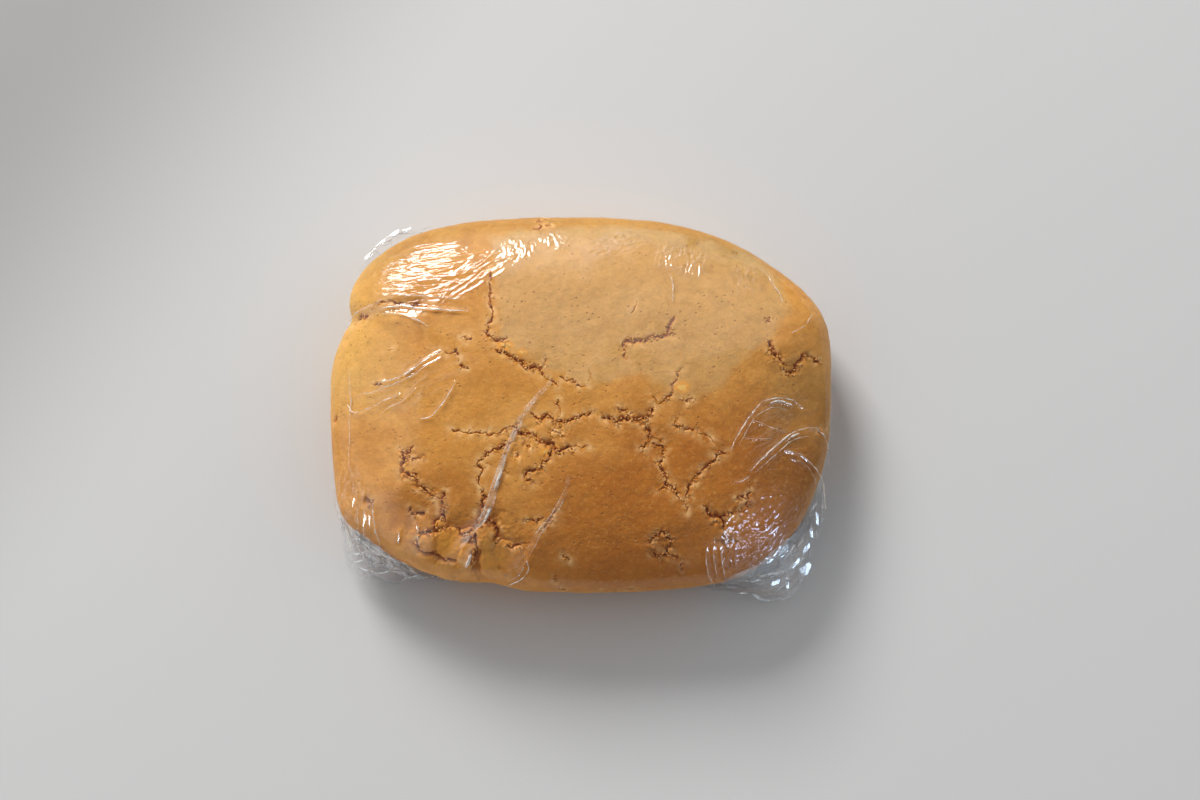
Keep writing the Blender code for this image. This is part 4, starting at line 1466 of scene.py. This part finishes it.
# The sheet of film between the two edges of a pleat, where it lies double: width and rise in mm, whiteness,
# then points in mm
PLEATS = {
    "long_pleat_upper": (1.5, 0.24, 0.22, (
        (-6.5, 2.8), (-11, -2.1), (-13.5, -6), (-16.5, -13), (-18.5, -19),
    )),
    "long_pleat_lower": (1.8, 0.32, 0.24, (
        (-16.5, -13), (-18.5, -19), (-21, -26.5), (-24, -30.1), (-27, -33.8),
    )),
    "second_pleat": (1.0, 0.20, 0.06, (
        (-2.5, -18), (-3.5, -22), (-6, -26.6), (-9.5, -31.1), (-13, -37.1), (-16.6, -41),
    )),
}

# Creases of the pockets, seen from above: half-width in mm, whiteness, then points in mm
POCKET_CREASES = {
    "left_1": (0.26, 0.9, ((-52.0, -31.4), (-49.9, -31.4), (-47.3, -31.9))),
    "left_2": (0.18, 0.7, ((-51.8, -32.1), (-53.4, -33.7))),
    "left_3": (0.24, 0.8, ((-53.3, -34.7), (-51, -34.5), (-49.4, -34.1))),
    "left_4": (0.24, 0.75, ((-53.0, -36.3), (-51, -36.2), (-49.1, -35.7))),
    "left_5": (0.18, 0.6, ((-48.6, -36.0), (-47.0, -37.9))),
    "left_6": (0.20, 0.9, ((-45.8, -38.8), (-43.9, -38.6))),
    "left_7": (0.20, 0.6, ((-43.7, -38.3), (-43.5, -36.3), (-42.9, -34.9))),
    "left_8": (0.18, 0.55, ((-53.2, -37.0), (-50.2, -37.9), (-47.2, -38.8), (-43.9, -38.8))),
    "left_9": (0.30, 0.8, ((-49.1, -34.9), (-48.4, -35.4), (-47.7, -34.9))),
    "left_10": (0.20, 0.5, ((-42.1, -40.9), (-40.2, -40.0), (-37.4, -39.7))),
    "left_rise_1": (0.22, 0.8, ((-52.9, -23.1), (-53.2, -25.6), (-54.0, -27.9), (-54.6, -29.1))),
    "left_rise_2": (0.18, 0.7, ((-54.6, -24.9), (-54.6, -27.0), (-54.3, -28.9))),
    "left_rise_3": (0.18, 0.6, ((-51.2, -23.1), (-52.3, -25.4), (-53.0, -28.2))),
    "left_rise_4": (0.20, 0.7, ((-46.9, -27.6), (-47.1, -31.9), (-46.5, -34.2))),
    "left_outer": (0.16, 0.4, (
        (-55.0, -29.6), (-54.5, -33.0), (-53.3, -35.8), (-50.2, -38.6), (-46.0, -40.2),
        (-42.7, -41.8),
    )),
    "right_1": (0.22, 0.7, ((44.9, -35.8), (48.2, -34.0), (50.6, -31.4))),
    "right_2": (0.26, 0.7, ((46.3, -38.6), (49.1, -36.5), (51.2, -35.3))),
    "right_3": (0.34, 0.95, ((47.0, -40.0), (47.1, -41.4), (47.4, -42.7))),
    "right_4": (0.34, 0.8, ((36.1, -43.4), (38.8, -43.6), (41.6, -44.8), (43.4, -45.0))),
    "right_outer": (0.20, 0.5, ((43.4, -45.0), (48.1, -44.1), (50.4, -40.4), (53.3, -36.3), (53.4, -31.2))),
    "right_6": (0.34, 0.9, ((52.7, -28.2), (53.0, -29.6), (53.1, -30.7))),
    "right_7": (0.26, 0.8, ((54.1, -28.9), (54.6, -30.1), (55.0, -31.2))),
    "right_8": (0.20, 0.6, ((35.0, -35.8), (35.9, -39.3), (37.2, -40.9), (41.2, -40.4), (44.7, -39.3))),
    "right_9": (0.22, 0.7, ((40.1, -36.0), (39.6, -38), (39.1, -40.0))),
    "right_10": (0.26, 0.8, ((47.7, -34.9), (48.7, -33.3))),
    "right_11": (0.30, 0.7, ((43.0, -39.3), (44.8, -38.8), (46.5, -38.8))),
    "right_12": (0.18, 0.6, ((49.7, -41.6), (50.0, -39.5))),
    "right_13": (0.24, 0.6, ((51.8, -24.7), (53.5, -23.3))),
    "right_14": (0.26, 0.75, ((48.2, -32.3), (46.6, -34.9), (44.9, -36.3))),
    "right_edge": (0.26, 0.55, ((56.4, -18.6), (56.1, -23.1), (55.8, -26.5), (55.2, -30.7))),
}

# Creases of the flap at the far left, in the same way
FAR_CREASES = {
    "far_1": (0.24, 0.9, ((-52.5, 35.9), (-49.9, 38.8), (-46.9, 41.8), (-42.6, 43.2))),
    "far_2": (0.20, 0.8, ((-50.8, 36.4), (-48.5, 39.1), (-45.7, 41.5))),
    "far_3": (0.34, 0.9, ((-45.2, 42.2), (-43.8, 43.2), (-41.9, 43.5))),
    "far_4": (0.30, 0.8, ((-49.0, 40.3), (-47.6, 41.5), (-46.7, 42.7))),
    "far_5": (0.16, 0.6, ((-53.1, 34.5), (-51.3, 38.1), (-48.1, 42.2), (-44.3, 44.0), (-38.6, 44.4))),
}

# How much wider the creases of the pockets and of the flap are drawn
POCKET_WIDTHS = 1.25
FAR_WIDTHS = 0.9

CREASE_STEP = 0.35 * MM
CREASE_WANDER = 0.16 * MM
NET_SHARE = 0.22
NET_HALF_WIDTHS = (0.05, 0.13)
NET_WHITENESS = (0.3, 0.8)


def crease_tree():
    """A Geometry Nodes tree that draws each line of a mesh out as a thin, pinched ridge of doubled film.

    Each point's half-width is read from the value "half_width".
    """
    tree, given = new_tree("pressed creases", {
        "Lines": "Geometry",
        "Step": "Float",
        "Wander": "Float",
        "Unevenness": "Float",
        "Sides": "Int",
        "Flatness": "Float",
        "Finish": "Material",
    }, "Creases")
    where = node(tree, "GeometryNodeInputPosition").outputs[0]
    lines = node(tree, "GeometryNodeMeshToCurve", {0: given["Lines"]}).outputs[0]
    steps = {"Curve": lines, "Length": given["Step"]}
    fine = node(tree, "GeometryNodeResampleCurve", steps, mode="LENGTH").outputs[0]
    rough = noise_of(tree, where, 2.6 * MM, 2.0, output="Color")
    centred = vectors(tree, "SUBTRACT", rough, (0.5, 0.5, 0.5))
    aside = scaled(tree, centred, maths(tree, "MULTIPLY", given["Wander"], 4.0))
    swayed = node(tree, "GeometryNodeSetPosition", {"Geometry": fine, "Offset": aside}).outputs[0]
    flat = node(tree, "GeometryNodeSetCurveNormal", {0: swayed}, mode="Z_UP").outputs[0]

    along = node(tree, "GeometryNodeSplineParameter").outputs["Factor"]
    middle = maths(tree, "MULTIPLY", maths(tree, "MULTIPLY", along, maths(tree, "SUBTRACT", 1.0, along)), 4.0)
    taper = maths(tree, "MAXIMUM", maths(tree, "POWER", middle, 0.45), 0.12)
    swing = maths(tree, "SUBTRACT", noise_of(tree, where, 1.5 * MM, 1.0), 0.5)
    swell = maths(tree, "ADD", maths(tree, "MULTIPLY", swing, given["Unevenness"]), 1.0)
    uneven = maths(tree, "MULTIPLY", taper, maths(tree, "MAXIMUM", swell, 0.25))
    scale = maths(tree, "MULTIPLY", kept_value(tree, "half_width"), uneven)
    circle = {"Resolution": given["Sides"], "Radius": 1.0}
    ring = node(tree, "GeometryNodeCurvePrimitiveCircle", circle).outputs[0]
    squash = node(tree, "ShaderNodeCombineXYZ", {"X": 1.0, "Y": given["Flatness"], "Z": 1.0}).outputs[0]
    profile = node(tree, "GeometryNodeTransform", {"Geometry": ring, "Scale": squash}).outputs[0]
    tube = node(tree, "GeometryNodeCurveToMesh", {
        "Curve": flat, "Profile Curve": profile, "Scale": scale, "Fill Caps": True,
    }).outputs[0]
    smooth = node(tree, "GeometryNodeSetShadeSmooth", {0: tube}).outputs[0]
    finished(tree, smooth, given["Finish"], "Creases")
    return tree


def crease_material(name, colour, metallic, roughness):
    """Film pressed double: it scatters a little, so it is whiter than the film round it, and glossy."""
    material, tree, shader = new_look(name, {
        "Base Color": colour,
        "Metallic": metallic,
        "Roughness": roughness,
        "IOR": 1.5,
        "Specular IOR Level": 0.9,
    })
    patches = noise_of(tree, object_place(tree), 1.8 * MM, 2.0, 0.6)
    patchy = ranged(tree, patches, 0.38, 0.64, 0.12, 1.15, "LINEAR")
    cover = maths(tree, "MULTIPLY", value_of(tree, "white"), patchy, use_clamp=True)
    tree.links.new(cover, shader.inputs["Alpha"])
    return material


def drawn_lines(name, lines, sides, flatness, unevenness, finish):
    """A piece of ridges drawn along lines, each given as its points, half-width and whiteness."""
    mesh = bpy.data.meshes.new(name)
    points, edges, half_widths, whites = [], [], [], []
    for path, half_width, whiteness in lines:
        edges += [(len(points) + number, len(points) + number + 1) for number in range(len(path) - 1)]
        points += [tuple(place + BLOCK_SHIFT) for place in path]
        half_widths += [half_width * MM] * len(path)
        whites += [whiteness] * len(path)
    mesh.from_pydata(points, edges, [])
    piece = linked(name, mesh)
    point_value(piece, "half_width", half_widths)
    point_value(piece, "white", whites)
    modifier = piece.modifiers.new("creases", "NODES")
    modifier.node_group = creases_tree
    set_inputs(modifier, creases_tree, {
        "Step": CREASE_STEP,
        "Wander": CREASE_WANDER,
        "Unevenness": unevenness,
        "Sides": sides,
        "Flatness": flatness,
        "Finish": finish,
    })
    made_plain(piece)
    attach(piece, "root")
    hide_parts(DOUGH_NODE)


def pocket_lines(table, widths):
    """The creases of a table laid on the gathered film, each as its points, half-width and whiteness."""
    lines = []
    for wide, white, points in table.values():
        flat = smooth_path([Vector((x, y, 0)) for x, y in points])
        lines.append(([pocket_place(spot.x, spot.y) for spot in flat], widths * wide, white))
    return lines


def sides_of(triangles):
    """The sides of some triangles, each once, in order."""
    pairs = [(face[one], face[other]) for face in triangles for one, other in ((0, 1), (1, 2), (2, 0))]
    return sorted({tuple(sorted(pair)) for pair in pairs})


creases_tree = crease_tree()
crease_look = crease_material("pressed film", (0.97, 0.90, 0.80, 1), 0.20, 0.22)
pleat_look = crease_material("pleated film", (1.0, 0.80, 0.62, 1), 0.0, 0.30)
pocket_crease_look = crease_material("creased pocket film", (0.97, 0.98, 1.0, 1), 0.30, 0.30)
drawn_lines("film_creases", pressed, 6, 0.8, 1.5, crease_look)

drawn_lines("far_creases", pocket_lines(FAR_CREASES, FAR_WIDTHS), 5, 0.9, 1.2, pocket_crease_look)

net_lines = pocket_lines(POCKET_CREASES, POCKET_WIDTHS)
for (corners, triangles), _ in crumple_sheets.values():
    for one, other in sides_of(triangles):
        keep = crumple_rng.random() < NET_SHARE
        wide = crumple_rng.uniform(*NET_HALF_WIDTHS)
        white = crumple_rng.uniform(*NET_WHITENESS)
        start, end = corners[one].xy, corners[other].xy
        middle = (start + end) / 2
        out = pocket_reach(math.radians(middle.x / MM_PER_DEGREE), middle.y * MM)
        if not keep or out < 1.2 * MM or min(start.y, end.y) < 0 or (start - end).length > 9:
            continue
        spots = [start.lerp(end, number / 5) for number in range(6)]
        net_lines.append(([film_place(spot.x / MM_PER_DEGREE, spot.y) for spot in spots], wide, white))
drawn_lines("pocket_creases", net_lines, 5, 0.9, 1.2, pocket_crease_look)

for name, (width, rise, white, points) in PLEATS.items():
    lines = [(pressed_path(points, 0), width / 2, white)]
    drawn_lines(name, lines, 14, 2 * rise / width, 0.5, pleat_look)


# THE FOLDS IN THE POCKETS
# Where the film was gathered, more of it hangs crumpled between the dough and the outer skin, in flat facets
# that meet at sharp creases.

FOLD_THICKNESS = 0.04 * MM


def gathered_material():
    """Film that lies several times over itself: it mirrors some light and scatters some, bluish white."""
    material, tree, shader = new_look("gathered film", {
        "Base Color": (0.90, 0.95, 1.0, 1),
        "Metallic": 0.70,
        "Roughness": 0.18,
    })
    tree.links.new(value_of(tree, "mirror"), shader.inputs["Alpha"])
    return material


def solid_sheet(name, bm, mirror, finish):
    """A piece of flat facets of film with a real thickness, from a bmesh of its faces."""
    places = np.array([vert.co for vert in bm.verts])
    sheet = mesh_piece(name, bm, places, finish)
    sheet.data.shade_flat()
    wall = sheet.modifiers.new("wall", "SOLIDIFY")
    wall.thickness = FOLD_THICKNESS
    wall.offset = 0
    solid = made_plain(sheet)
    for value, amount in (("mirror", mirror), ("white", mirror), ("crease", 0)):
        point_value(sheet, value, np.full(len(solid.vertices), amount))
    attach(sheet, "root")
    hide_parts(DOUGH_NODE)


def folded_sheet(name, nearest, farthest, net_share, cover, finish):
    """A crumpled sheet of facets inside a pocket, at a changing share of the way from the dough to the skin.

    Returns the sides of its facets that are creased, each as its points, half-width and whiteness.
    """
    first, last, low, high, spacing, push = CRUMPLES[name]
    corners, triangles = crumple_net(crumple_rng, first, last, low, high, 0.85 * spacing, push)
    shares = [crumple_rng.uniform(nearest, farthest) for _ in corners]
    spots = [
        film_place(corner.x / MM_PER_DEGREE, max(0.3, min(corner.y, high)), share)
        for corner, share in zip(corners, shares)
    ]
    kept = []
    for face in triangles:
        outs = [pocket_reach(math.radians(corners[i].x / MM_PER_DEGREE), corners[i].y * MM) for i in face]
        if max(outs) > 1.5 * MM and min(corners[i].y for i in face) > low - 0.5:
            kept.append(face)
    bm = bmesh.new()
    made = [bm.verts.new(spot) for spot in spots]
    for face in kept:
        bm.faces.new([made[i] for i in face])
    bmesh.ops.delete(bm, geom=[vert for vert in bm.verts if not vert.link_faces], context="VERTS")
    bmesh.ops.recalc_face_normals(bm, faces=bm.faces)
    lines = []
    for edge in bm.edges:
        if crumple_rng.random() < net_share:
            one, other = (vert.co.copy() for vert in edge.verts)
            path = [one.lerp(other, number / 4) for number in range(5)]
            lines.append((path, crumple_rng.uniform(*NET_HALF_WIDTHS), crumple_rng.uniform(*NET_WHITENESS)))
    solid_sheet(f"{name}_folds", bm, cover, finish)
    return lines


# The sheets: the nearest and farthest share of the way from the dough to the skin, the share of the facets'
# sides that are creased, how much light a sheet stops, and its finish
INNER_FOLDS = {
    "near_left": (0.35, 0.90, 0.30, 0.46, pocket_crease_look),
    "near_right": (0.25, 0.80, 0.25, 0.20, gathered_material()),
}
for name, fold in INNER_FOLDS.items():
    inner_lines = folded_sheet(name, *fold)
    drawn_lines(f"{name}_inner_creases", inner_lines, 5, 0.9, 1.2, pocket_crease_look)


# THE GLINTING FACETS
# Small flat facets of the wrinkled film that happen to face a light, so that they shine white. They are on
# the shoulders over the two near pockets, in the right pocket itself, and on the flap at the far left.

# Groups of facets that face one way, given as a direction in degrees, and each facet's corners in mm
GLINTS = {
    -50: {
        "right_big": ((36.7, -36.6), (38.4, -34.2), (39.6, -35.0), (40.3, -36.7), (38.2, -37.6)),
        "right_pocket_1": ((44.7, -35.3), (45.3, -33.4), (46.9, -32.7), (46.6, -33.8), (45.5, -35.6)),
        "right_pocket_2": ((50.4, -37.9), (52.6, -36.3), (53.3, -37.0), (52.2, -39.3), (51.0, -39.2)),
        "right_pocket_3": ((52.4, -28.3), (53.1, -28.4), (53.4, -30.8), (52.7, -30.6)),
        "right_pocket_4": ((46.8, -40.0), (47.4, -40.0), (47.7, -42.5), (47.0, -42.4)),
        "right_pocket_5": ((47.8, -37.2), (49.6, -35.6), (49.9, -36.3), (48.3, -38.0)),
        "right_pocket_6": ((50.8, -33.6), (52.4, -31.9), (52.6, -32.8), (51.2, -34.6)),
        "right_pocket_7": ((43.2, -41.0), (45.4, -40.4), (45.0, -41.4), (43.4, -41.9)),
        "right_pocket_8": ((53.9, -25.0), (54.5, -25.2), (54.7, -27.9), (54.0, -27.6)),
        "streak_1": ((40.6, -30.2), (42.6, -28.3), (41.7, -29.7)),
        "streak_2": ((41.6, -31.0), (44.1, -28.9), (42.9, -30.5)),
        "streak_3": ((43.4, -31.3), (45.6, -29.2), (44.5, -30.9)),
        "streak_4": ((42.8, -27.4), (44.3, -26.0), (43.6, -27.2)),
        "streak_5": ((45.4, -28.3), (46.9, -26.9), (46.3, -28.2)),
        "dash_1": ((40.6, -36.9), (41.2, -34.4), (41.5, -34.5), (41.0, -37.1)),
        "dash_2": ((42.2, -36.6), (42.9, -34.6), (43.1, -34.8), (42.6, -36.8)),
        "dash_3": ((35.2, -38.9), (35.7, -36.2), (36.0, -36.4), (35.6, -39.0)),
    },
    112: {
        "far_1": ((-47.0, 41.1), (-43.9, 43.5), (-44.2, 41.9)),
        "far_2": ((-49.6, 38.7), (-47.0, 41.1), (-47.5, 39.3)),
        "far_3": ((-52.3, 35.8), (-50.1, 38.4), (-50.3, 36.4)),
        "far_4": ((-43.2, 43.4), (-41.0, 43.9), (-42.3, 42.9)),
        "far_5": ((-50.2, 37.2), (-48.9, 38.2), (-49.9, 38.0)),
        "left_1": ((-52.0, -22.6), (-51.5, -23.3), (-52.4, -25.6)),
        "left_2": ((-51.0, -22.4), (-50.6, -22.9), (-51.2, -24.9)),
        "left_3": ((-48.7, -25.6), (-48.0, -26.9), (-48.7, -29.4)),
        "left_4": ((-47.6, -25.9), (-47.1, -27.1), (-47.2, -29.3)),
        "left_5": ((-46.7, -28.2), (-46.0, -29.4), (-46.3, -31.2)),
        "left_6": ((-40.8, -30.8), (-40.5, -31.6), (-40.8, -32.6)),
        "left_7": ((-36.8, -28.6), (-36.4, -29.2), (-36.3, -30.2)),
    },
}
GLINT_TILT = math.radians(23)
GLINT_LIFT = 0.35 * MM
GLINT_MIRROR = 0.03


def glint_facet(name, turn, corners):
    """A thin flat facet of film over the given corners, tilted to face one way."""
    facing = Vector((
        math.sin(GLINT_TILT) * math.cos(math.radians(turn)),
        math.sin(GLINT_TILT) * math.sin(math.radians(turn)),
        math.cos(GLINT_TILT),
    ))
    middle = sum((Vector((x, y, 0)) for x, y in corners), Vector()) / len(corners)
    beyond = math.hypot(middle.x, middle.y) * MM / outline_radius(math.atan2(middle.y, middle.x))
    if beyond > 0.93:
        height = pocket_place(middle.x, middle.y).z
    else:
        height = surface_point(middle.x * MM, middle.y * MM).z
    bm = bmesh.new()
    ring = []
    for x, y in corners:
        rise = -(facing.x * (x - middle.x) + facing.y * (y - middle.y)) / facing.z
        ring.append(bm.verts.new((x * MM, y * MM, height + rise * MM + GLINT_LIFT)))
    bm.faces.new(ring)
    bmesh.ops.recalc_face_normals(bm, faces=bm.faces)
    if bm.faces[:][0].normal.z < 0:
        bmesh.ops.reverse_faces(bm, faces=bm.faces)
    solid_sheet(name, bm, GLINT_MIRROR, film_look)


for turn, facets in GLINTS.items():
    for name, corners in facets.items():
        glint_facet(f"glint_{name}", turn, corners)


# THE COUNTER AND THE LIGHT
# A plain pale counter. Daylight comes in low from a window behind the block and to its left, and the wall and
# ceiling beside the window give the rest.

COUNTER_SIZE = 3.0

counter_mesh = bpy.data.meshes.new("counter")
half = COUNTER_SIZE / 2
counter_corners = [(-half, -half, 0), (half, -half, 0), (half, half, 0), (-half, half, 0)]
counter_mesh.from_pydata(counter_corners, [], [(0, 1, 2, 3)])
counter = linked("counter", counter_mesh)


def dot(tree, vector, direction):
    """How far a vector points along a direction, as a socket."""
    product = node(tree, "ShaderNodeVectorMath", {0: vector, 1: direction}, operation="DOT_PRODUCT")
    return product.outputs["Value"]


# Its colour is painted darker towards the far left corner of the picture, a painted shade
counter_look, counter_tree, counter_shader = new_look("pale counter", {
    "Roughness": 0.55,
    "Specular IOR Level": 0.3,
})
towards_corner = dot(counter_tree, object_place(counter_tree), (-0.79, 0.61, 0.0))
painted_corner_shade = ranged(counter_tree, towards_corner, 70 * MM, 165 * MM)
counter_colour = colour_mix(counter_tree, painted_corner_shade, (0.695, 0.685, 0.676, 1), (0.40, 0.385, 0.375, 1))
counter_tree.links.new(counter_colour, counter_shader.inputs["Base Color"])
counter_mesh.materials.append(counter_look)

# The window and a faint glow low at the front left light the block. The window that the film mirrors stands
# a little higher, and a small bluish lamp at the front right shows only in the film too. Given are direction
# and height in degrees, width and height in metres, radiance, colour, and whether a lamp is only mirrored.
WINDOWS = {
    "window": (115, 31.0, 0.60, 0.54, 24.5, (1.0, 1.0, 1.0), False),
    "window_glare": (120, 36.5, 0.58, 0.52, 20.0, (1.0, 1.0, 1.0), True),
    "small_lamp": (-42, 42, 0.28, 0.28, 19.0, (0.60, 0.78, 1.0), True),
    "low_fill": (-134, 6, 1.60, 0.30, 1.9, (1.0, 0.96, 0.90), False),
}
WINDOW_DISTANCE = 1.6

for name, (azimuth, elevation, wide, high, radiance, colour, mirrored_only) in WINDOWS.items():
    light = bpy.data.lights.new(name, "AREA")
    light.shape = "RECTANGLE"
    light.size, light.size_y = wide, high
    light.energy = radiance * wide * high * math.pi
    light.color = colour
    turn, rise = math.radians(azimuth), math.radians(elevation)
    towards = Vector((math.cos(turn) * math.cos(rise), math.sin(turn) * math.cos(rise), math.sin(rise)))
    lamp = linked(name, light)
    lamp.location = towards * WINDOW_DISTANCE
    lamp.rotation_euler = towards.to_track_quat("Z", "Y").to_euler()
    lamp.visible_diffuse = not mirrored_only
    lamp.visible_glossy = mirrored_only

# The room's own light: the ceiling is bright from just behind overhead, the walls behind and to the left
# glow, and so does the wall high on the right. The camera itself sees an even grey.
ROOM_LIGHT = 0.47
LEFT_LIGHT = 0.72
RIGHT_LIGHT = 0.78
WALL_SHARE = 0.30
SEEN_LIGHT = 0.62

world = bpy.data.worlds.new("room")
world.use_nodes = True
bpy.context.scene.world = world
room = world.node_tree
background = room.nodes["Background"]
looking = node(room, "ShaderNodeTexCoord").outputs["Generated"]


def room_glow(direction, start, end, low, high):
    """The light from one side of the room, which rises from low to high as the view turns that way."""
    return ranged(room, dot(room, looking, direction), start, end, low, high)


back_glow = room_glow((0, 1, 0), 0.06, 0.30, 0.0, ROOM_LIGHT)
left_glow = room_glow((-1, 0, 0), 0.24, 0.52, 0.0, LEFT_LIGHT)
overhead = room_glow((0, 0, 1), 0.20, 0.85, WALL_SHARE, 1.0)
glow = maths(room, "MULTIPLY", maths(room, "MAXIMUM", back_glow, left_glow), overhead)
right_glow = room_glow((0.78, 0.32, 0.54), 0.50, 0.90, 0.0, RIGHT_LIGHT)
all_glow = maths(room, "MAXIMUM", glow, right_glow)

# What the film mirrors of the room: the bright wall round the window, and dimmer walls on the other sides
SIDE_WALL = (0.62, -0.68, 0.40)
SHINES = (
    ((-0.36, 0.78, 0.51), 0.80, 0.99, 0.16, 1.4),
    ((0, 0.97, 0.24), 0.84, 0.97, 0.16, 0.8),
    (SIDE_WALL, 0.82, 0.97, 0.10, 0.65),
    ((-0.86, -0.42, 0.30), 0.72, 0.96, 0.16, 1.3),
)
shine = glow
for wall in SHINES:
    shine = maths(room, "MAXIMUM", shine, room_glow(*wall))
blue_side = room_glow(SIDE_WALL, 0.50, 0.80, 0.0, 1.0)

paths = node(room, "ShaderNodeLightPath").outputs


def seen_by(ray, others_light, light):
    """The room's light: one strength for a kind of ray, and another for all the other rays."""
    strengths = {0: paths[ray], 2: others_light, 3: light}
    return node(room, "ShaderNodeMix", strengths, data_type="FLOAT").outputs[0]


lit = seen_by("Is Glossy Ray", all_glow, shine)
shown = seen_by("Is Camera Ray", lit, SEEN_LIGHT)
room.links.new(shown, background.inputs["Strength"])
room.links.new(colour_mix(room, blue_side, (1, 1, 1, 1), (0.74, 0.86, 1.0, 1)), background.inputs["Color"])

bpy.context.scene.view_settings.view_transform = "Standard"


# THE CAMERA
# It looks down on the block from just in front of straight above.

FRAME_WIDTH = 278.8 * MM
LENS = 50
SENSOR = 36
CAMERA_TILT = math.radians(8)

camera_data = bpy.data.cameras.new("camera")
camera_data.lens = LENS
camera_data.sensor_width = SENSOR
camera_data.clip_start = 0.01
camera = linked("camera", camera_data)
aim = Vector((4.18 * MM, 1.05 * MM, 10 * MM)) + BLOCK_SHIFT
towards = Vector((0, -math.sin(CAMERA_TILT), math.cos(CAMERA_TILT)))
camera.location = aim + towards * FRAME_WIDTH * LENS / SENSOR
camera.rotation_euler = towards.to_track_quat("Z", "Y").to_euler()
bpy.context.scene.camera = camera
